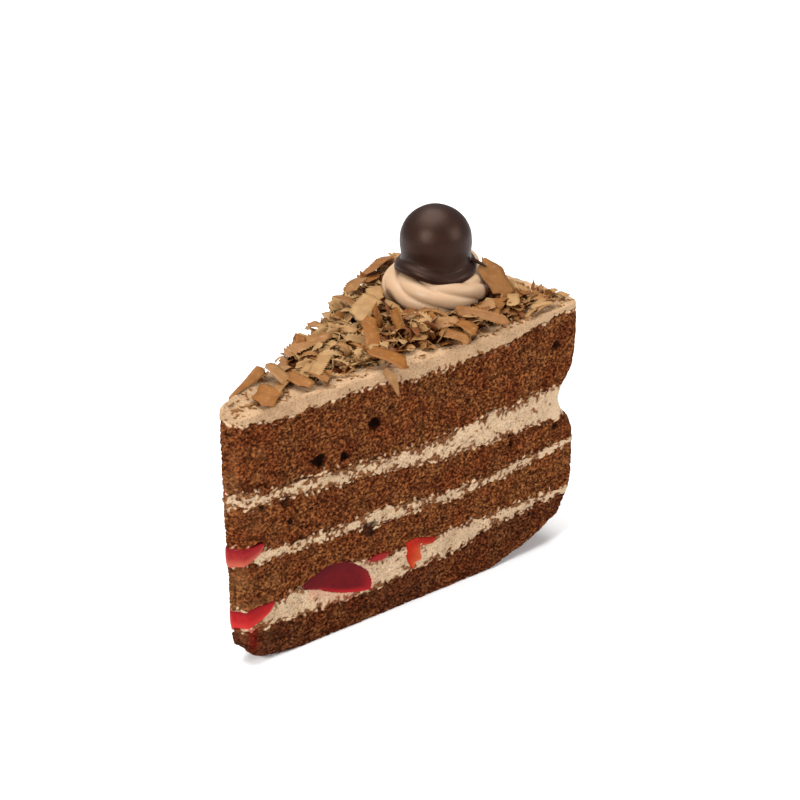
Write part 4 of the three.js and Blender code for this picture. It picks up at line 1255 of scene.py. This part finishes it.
def noise_node(tree, size, detail, stretch=(1, 1, 1)):
    """Noise whose bumps are size millimetres apart."""
    place = add(tree, "ShaderNodeTexCoord")
    mapping = add(tree, "ShaderNodeMapping", {"Vector": place.outputs["Object"], "Scale": stretch})
    settings = {"Vector": mapping.outputs[0], "Scale": 1000 / size, "Detail": detail}
    return add(tree, "ShaderNodeTexNoise", settings).outputs["Fac"]


def attribute(tree, name, share=None):
    """An attribute of the mesh, or a share of it."""
    value = add(tree, "ShaderNodeAttribute", attribute_name=name).outputs["Fac"]
    return value if share is None else maths(tree, "MULTIPLY", value, share)


def maths(tree, operation, first, second):
    return add(tree, "ShaderNodeMath", {0: first, 1: second}, operation=operation).outputs[0]


def ramp(tree, share, *stops):
    """A colour for each place along a range, and those between them."""
    made = add(tree, "ShaderNodeValToRGB", {"Fac": share})
    elements = made.color_ramp.elements
    while len(elements) < len(stops):
        elements.new(0.5)
    for element, (place, colour) in zip(elements, stops):
        element.position = place
        element.color = colour
    return made.outputs["Color"]


def mix(tree, share, first, second, blend="MIX"):
    values = {0: share, 6: first, 7: second}
    return add(tree, "ShaderNodeMix", values, data_type="RGBA", blend_type=blend).outputs[2]


def tinted(tree, colour, tint):
    return mix(tree, 1.0, colour, tint, "MULTIPLY")


def coats(tree, colour, *rows):
    """The colour with others over it, each row an attribute, a share of it or None, and a colour."""
    for name, share, over in rows:
        colour = mix(tree, attribute(tree, name, share), colour, over)
    return colour


def finish(tree, shader, colour, grain, distance, strength, **values):
    """Gives the shader its colour, the grain of its bumps and its other values, _ for each space."""
    tree.links.new(colour, shader.inputs["Base Color"])
    if grain:
        heights = {"Height": grain, "Distance": distance / 1000, "Strength": strength}
        tree.links.new(add(tree, "ShaderNodeBump", heights).outputs["Normal"], shader.inputs["Normal"])
    for name, value in values.items():
        shader.inputs[name.replace("_", " ")].default_value = value


WHITE = (1, 1, 1, 1)


# The colour of crumb, from the bottom of its grain to the top: crumb's own tone with painted shade at the
# bottom and painted light at the top, as the same noise raises the grain's bump.
CRUMB_SHADES = [(0.36, (46, 19, 7)), (0.5, (98, 57, 31)), (0.66, (148, 98, 57))]


def sponge_material():
    """Open crumb: fine grain, painted shade in its folds and hollows, a darker crust, and cream, syrup and
    juice on it.
    """
    material, tree, shader = new_material("sponge_crumb")
    fine = noise_node(tree, 0.84, 3, (1, 1, 1.2))
    # Painted shade and light: the grain's bump height also picks its colour, dark low and light high.
    colour = ramp(tree, fine, *[(place, linear(*shade)) for place, shade in CRUMB_SHADES])
    patches = noise_node(tree, 8, 3)
    tint = ramp(tree, patches, (0.35, linear(236, 200, 180)), (0.65, linear(255, 252, 238)))
    # Painted shade: the crumb's folds and cracks are darkened.
    colour = coats(tree, tinted(tree, colour, tint), ("fold", 0.6, linear(56, 24, 8)))
    colour = coats(tree, colour, ("dry", None, mix(tree, 0.4, colour, linear(150, 104, 66))))
    soaked = tinted(tree, colour, linear(190, 176, 196))
    baked = ramp(tree, noise_node(tree, 2.2, 5), (0.35, linear(60, 29, 15)), (0.65, linear(100, 58, 33)))
    # Painted shade: hollow darkens the pores and air holes nearly to black.
    colour = coats(
        tree, colour, ("damp", None, soaked), ("crust", 0.75, baked),
        ("hollow", None, linear(26, 10, 5)), ("smear", None, linear(204, 172, 138)),
    )
    stained = mix(tree, 0.45, tinted(tree, colour, linear(255, 90, 80)), linear(118, 20, 16))
    colour = coats(tree, colour, ("juice", None, stained))
    finish(tree, shader, colour, fine, 0.35, 0.9, Roughness=0.95, Specular_IOR_Level=0.05)
    return material


CREAM_BODY = {"Subsurface_Radius": (1.0, 0.6, 0.35), "Subsurface_Scale": 0.0006}
CREAM_LIGHT = 0.12  # how much light cream lets in, and how much crumbed cream reflects


def crumbed_cream(name, colour, mottled):
    """Cream that the knife has dragged crumb over, more or less mottled."""
    material, tree, shader = new_material(name)
    drag = noise_node(tree, 0.6, 5, (1, 1, 1.2))
    dull, bright = mix_colour(colour, 1 - 0.45 * mottled), mix_colour(colour, 1 + 0.08 * mottled)
    base = ramp(tree, drag, (0.34, dull), (0.52, colour), (0.7, bright))
    patches = ramp(tree, noise_node(tree, 5, 3), (0.35, (0.8, 0.77, 0.74, 1)), (0.6, WHITE))
    base = mix(tree, mottled, base, tinted(tree, base, patches))
    crumb = ramp(tree, noise_node(tree, 0.7, 2), (0.35, linear(62, 31, 14)), (0.65, linear(134, 84, 44)))
    # Painted shade: hollow darkens the cream's pinholes; dark darkens its air holes and colours the dark
    # patches.
    base = coats(
        tree, base, ("clean", 0.7, mix_colour(colour, 0.92)), ("hollow", None, linear(96, 62, 38)),
        ("crumbs", None, crumb), ("dark", None, linear(40, 21, 17)), ("juice", 0.55, linear(206, 110, 100)),
    )
    finish(tree, shader, base, noise_node(tree, 0.6, 4), 0.2 * mottled, 0.8, Roughness=0.6, **CREAM_BODY)
    # The painted shade of the air holes also takes away the cream's shine and the light it lets in.
    light = maths(tree, "MULTIPLY", maths(tree, "SUBTRACT", 1.0, attribute(tree, "dark")), CREAM_LIGHT)
    for socket in ("Specular IOR Level", "Subsurface Weight"):
        tree.links.new(light, shader.inputs[socket])
    return material


def piped_cream():
    """Smooth cream with a soft shine."""
    material, tree, shader = new_material("cream_piped")
    colour = linear(185, 152, 120)
    drag = noise_node(tree, 0.6, 5, (1, 1, 1.2))
    base = ramp(tree, drag, (0.34, mix_colour(colour, 0.995)), (0.7, mix_colour(colour, 1.005)))
    finish(
        tree, shader, base, None, 0, 0, Roughness=0.4, Specular_IOR_Level=0.25,
        Subsurface_Weight=CREAM_LIGHT, **CREAM_BODY,
    )
    return material


def mix_colour(colour, share):
    """A colour made darker or lighter."""
    return (*[v * share for v in colour[:3]], 1.0)


# Cherry flesh: its own colour, the pale colour of its painted light and the deep colour of its painted
# shade.
FLESH = {
    "dark": ((100, 3, 10), (176, 20, 26), (70, 4, 12)),
    "red": ((160, 20, 23), (178, 42, 37), (120, 11, 19)),
    "pink": ((146, 32, 32), (170, 80, 62), (118, 13, 22)),
    "orange": ((168, 34, 10), (200, 96, 46), (120, 11, 11)),
}


def cherry_material(kind):
    """Wet flesh with faint fibres, as translucent as juice allows."""
    material, tree, shader = new_material("cherry_flesh_" + kind)
    flesh, pale, deep = (linear(*shade) for shade in FLESH[kind])
    colour = ramp(tree, noise_node(tree, 1.2, 3), (0.3, mix_colour(flesh, 0.7)), (0.7, flesh))
    # Painted light and shade: pale lightens and deep darkens each fruit where its attributes say.
    colour = coats(tree, colour, ("pale", None, pale), ("deep", None, deep))
    finish(
        tree, shader, colour, noise_node(tree, 0.6, 2), 0.06, 0.6, Roughness=0.4,
        Specular_IOR_Level=0.06, Subsurface_Weight=0.15, Subsurface_Radius=(1.6, 0.3, 0.2),
        Subsurface_Scale=0.0015, Coat_Weight=0.04, Coat_Roughness=0.15,
    )
    return material


# The colour of a shaving against its tone.
SHAVING_TONES = [
    (0.0, (161, 127, 85)), (0.3, (152, 114, 72)), (0.5, (133, 89, 47)),
    (0.7, (134, 84, 35)), (0.92, (104, 57, 26)),
]


def shaving_material():
    """Milk chocolate: a tone for each shaving, faint streaks along it, blotches and a pale bloom."""
    material, tree, shader = new_material("milk_chocolate_shaving")
    tone = attribute(tree, "tone")
    colour = ramp(tree, tone, *[(place, linear(*shade)) for place, shade in SHAVING_TONES])
    lane = add(tree, "ShaderNodeCombineXYZ", {
        "X": attribute(tree, "across"), "Y": maths(tree, "MULTIPLY", tone, 40.0),
    })
    streaks = add(tree, "ShaderNodeTexNoise", {"Vector": lane.outputs[0], "Scale": 2.2, "Detail": 4.0})
    shade = ramp(tree, streaks.outputs["Fac"], (0.35, (0.94, 0.92, 0.9, 1)), (0.6, WHITE))
    blotches = ramp(tree, noise_node(tree, 3.2, 2), (0.36, (0.84, 0.8, 0.74, 1)), (0.58, WHITE))
    colour = tinted(tree, tinted(tree, colour, shade), blotches)
    pale = ramp(tree, noise_node(tree, 1.3, 4), (0.55, (0, 0, 0, 1)), (0.8, (0.3, 0.3, 0.3, 1)))
    colour = mix(tree, pale, colour, linear(186, 152, 112))
    finish(
        tree, shader, colour, noise_node(tree, 1.0, 4), 0.05, 0.4, Roughness=0.5, Specular_IOR_Level=0.16,
    )
    return material


def heap_material():
    """Crushed chocolate, darker than the shavings: painted shade where the gaps between flakes show it."""
    material, tree, shader = new_material("chocolate_crumbs_painted_shade")
    colour = ramp(tree, noise_node(tree, 0.9, 3), (0.35, linear(40, 16, 8)), (0.7, linear(96, 50, 24)))
    finish(
        tree, shader, colour, noise_node(tree, 0.8, 3), 0.3, 1.0, Roughness=0.9, Specular_IOR_Level=0.03,
    )
    return material


def dark_chocolate_material():
    """The ball's coat, browner where it is thin at its foot."""
    material, tree, shader = new_material("dark_chocolate_coat")
    colour = ramp(tree, noise_node(tree, 3.5, 4), (0.35, linear(27, 12, 8)), (0.7, linear(38, 18, 12)))
    colour = coats(tree, colour, ("thin", None, linear(104, 52, 24)))
    finish(
        tree, shader, colour, noise_node(tree, 0.6, 3), 0.05, 0.6, Roughness=0.45,
        Specular_IOR_Level=0.32, Specular_Tint=(1.0, 0.66, 0.52, 1.0),
    )
    return material


# ---------------------------------------------------------------- camera, lights and floor

# Angles in degrees, the lens and the sensor's width in millimetres of film, and the place in
# millimetres from the cake's own axis.
CAMERA = {
    "azimuth": 38.32, "elevation": 25.5, "roll": -0.76, "lens": 83.4, "sensor": 36,
    "at": (307.6, -305.4, 291.1),
}
# Square lamps that face the slice: place and side in metres, and power in watts.
LAMPS = {
    "left": ((0.02, -0.94, 0.62), 0.22, 9),
    "right": ((0.85, 0.3, 0.5), 0.4, 4.5),
    "top": ((-0.2, 0.05, 1.1), 1.0, 16),
}
LAMP_AIM = (0, 0, 0.05)
SKY_STRENGTH = 0.32
FLOOR_REACH = 6  # half the floor's side, in metres
FLOOR_GREY = 0.95


def build_camera():
    azimuth, elevation, roll = (math.radians(CAMERA[key]) for key in ("azimuth", "elevation", "roll"))
    right = Vector((math.cos(azimuth), math.sin(azimuth), 0))
    level = math.cos(elevation)
    ahead = Vector((-math.sin(azimuth) * level, math.cos(azimuth) * level, -math.sin(elevation)))
    up = right.cross(ahead)
    rolled_right = right * math.cos(roll) + up * math.sin(roll)
    rolled_up = up * math.cos(roll) - right * math.sin(roll)
    data = bpy.data.cameras.new("camera")
    data.lens = CAMERA["lens"]
    data.sensor_width = CAMERA["sensor"]
    data.clip_start, data.clip_end = 0.01, 50
    camera = bpy.data.objects.new("camera", data)
    turn = Matrix((rolled_right, rolled_up, -ahead)).transposed()
    camera.matrix_world = Matrix.Translation(Vector(in_frame(CAMERA["at"]))) @ turn.to_4x4()
    bpy.context.scene.collection.objects.link(camera)
    bpy.context.scene.camera = camera


def build_lamp(name, at, side, power):
    data = bpy.data.lights.new(name, "AREA")
    data.shape = "RECTANGLE"
    data.size = data.size_y = side
    data.energy = power
    lamp = bpy.data.objects.new(name, data)
    lamp.location = at
    lamp.rotation_euler = (Vector(LAMP_AIM) - Vector(at)).to_track_quat("-Z", "Y").to_euler()
    bpy.context.scene.collection.objects.link(lamp)


def build_studio():
    scene = bpy.context.scene
    scene.view_settings.view_transform = "Standard"
    world = bpy.data.worlds.new("studio")
    world.use_nodes = True
    sky = world.node_tree.nodes["Background"].inputs
    sky["Color"].default_value = WHITE
    sky["Strength"].default_value = SKY_STRENGTH
    scene.world = world
    for name, lamp in LAMPS.items():
        build_lamp(name, *lamp)
    mesh = bpy.data.meshes.new("floor")
    corners = [(x * FLOOR_REACH, y * FLOOR_REACH, 0) for x, y in ((-1, -1), (1, -1), (1, 1), (-1, 1))]
    mesh.from_pydata(corners, [], [(0, 1, 2, 3)])
    floor = bpy.data.objects.new("floor", mesh)
    scene.collection.objects.link(floor)
    material, _, shader = new_material("pale_floor")
    shader.inputs["Base Color"].default_value = (FLOOR_GREY, FLOOR_GREY, FLOOR_GREY, 1)
    shader.inputs["Roughness"].default_value = 0.8
    mesh.materials.append(material)


# ---------------------------------------------------------------- assembly

# How many crumbs the knife has dragged over each cream; the layers without a row are sponge.
CREAM_CRUMBS = {"cream_lower": 0.1, "cream_middle": 0.1, "cream_upper": 0.24, "icing": -0.4}
ICING_ROUGH = 0.45
FRUIT_FLESH = {
    "cherry_main": "dark", "cherry_left": "dark", "cherry_sliver": "pink",
    "cherry_tip_lower": "red", "cherry_tip_middle": "pink", "cherry_tip_upper": "pink",
}


def build_layers():
    crumb = sponge_material()
    filling = crumbed_cream("cream_filling", linear(194, 166, 134), 1.0)
    icing = crumbed_cream("cream_icing", linear(178, 145, 111), 0.75)
    for number, name in enumerate(LAYERS):
        seed = 101 + 100 * number
        if name not in CREAM_CRUMBS:
            build_layer(name, crumb, sponge_relief(name, seed))
        elif name == "icing":
            build_layer(name, icing, cream_side(name, seed, CREAM_CRUMBS[name], ICING_ROUGH))
        else:
            build_layer(name, filling, cream_side(name, seed, CREAM_CRUMBS[name], 1.0))


def build_fruit():
    flesh = {kind: cherry_material(kind) for kind in FLESH}
    for name, fruit in FRUIT.items():
        face_fruit(name, fruit, flesh[FRUIT_FLESH[name]])
    crescent("cherry_wedge", flesh["orange"])
    for name, fruit in TIP_FRUIT.items():
        tip_fruit(name, fruit, flesh[FRUIT_FLESH[name]])


def build_topping():
    build_rosette(piped_cream())
    coat = dark_chocolate_material()
    build_ball(coat)
    build_drip(coat)
    shaving = shaving_material()
    build_flakes(shaving)
    build_heap(heap_material())
    build_bits(shaving)


build_camera()
build_studio()
build_layers()
build_fruit()
build_topping()
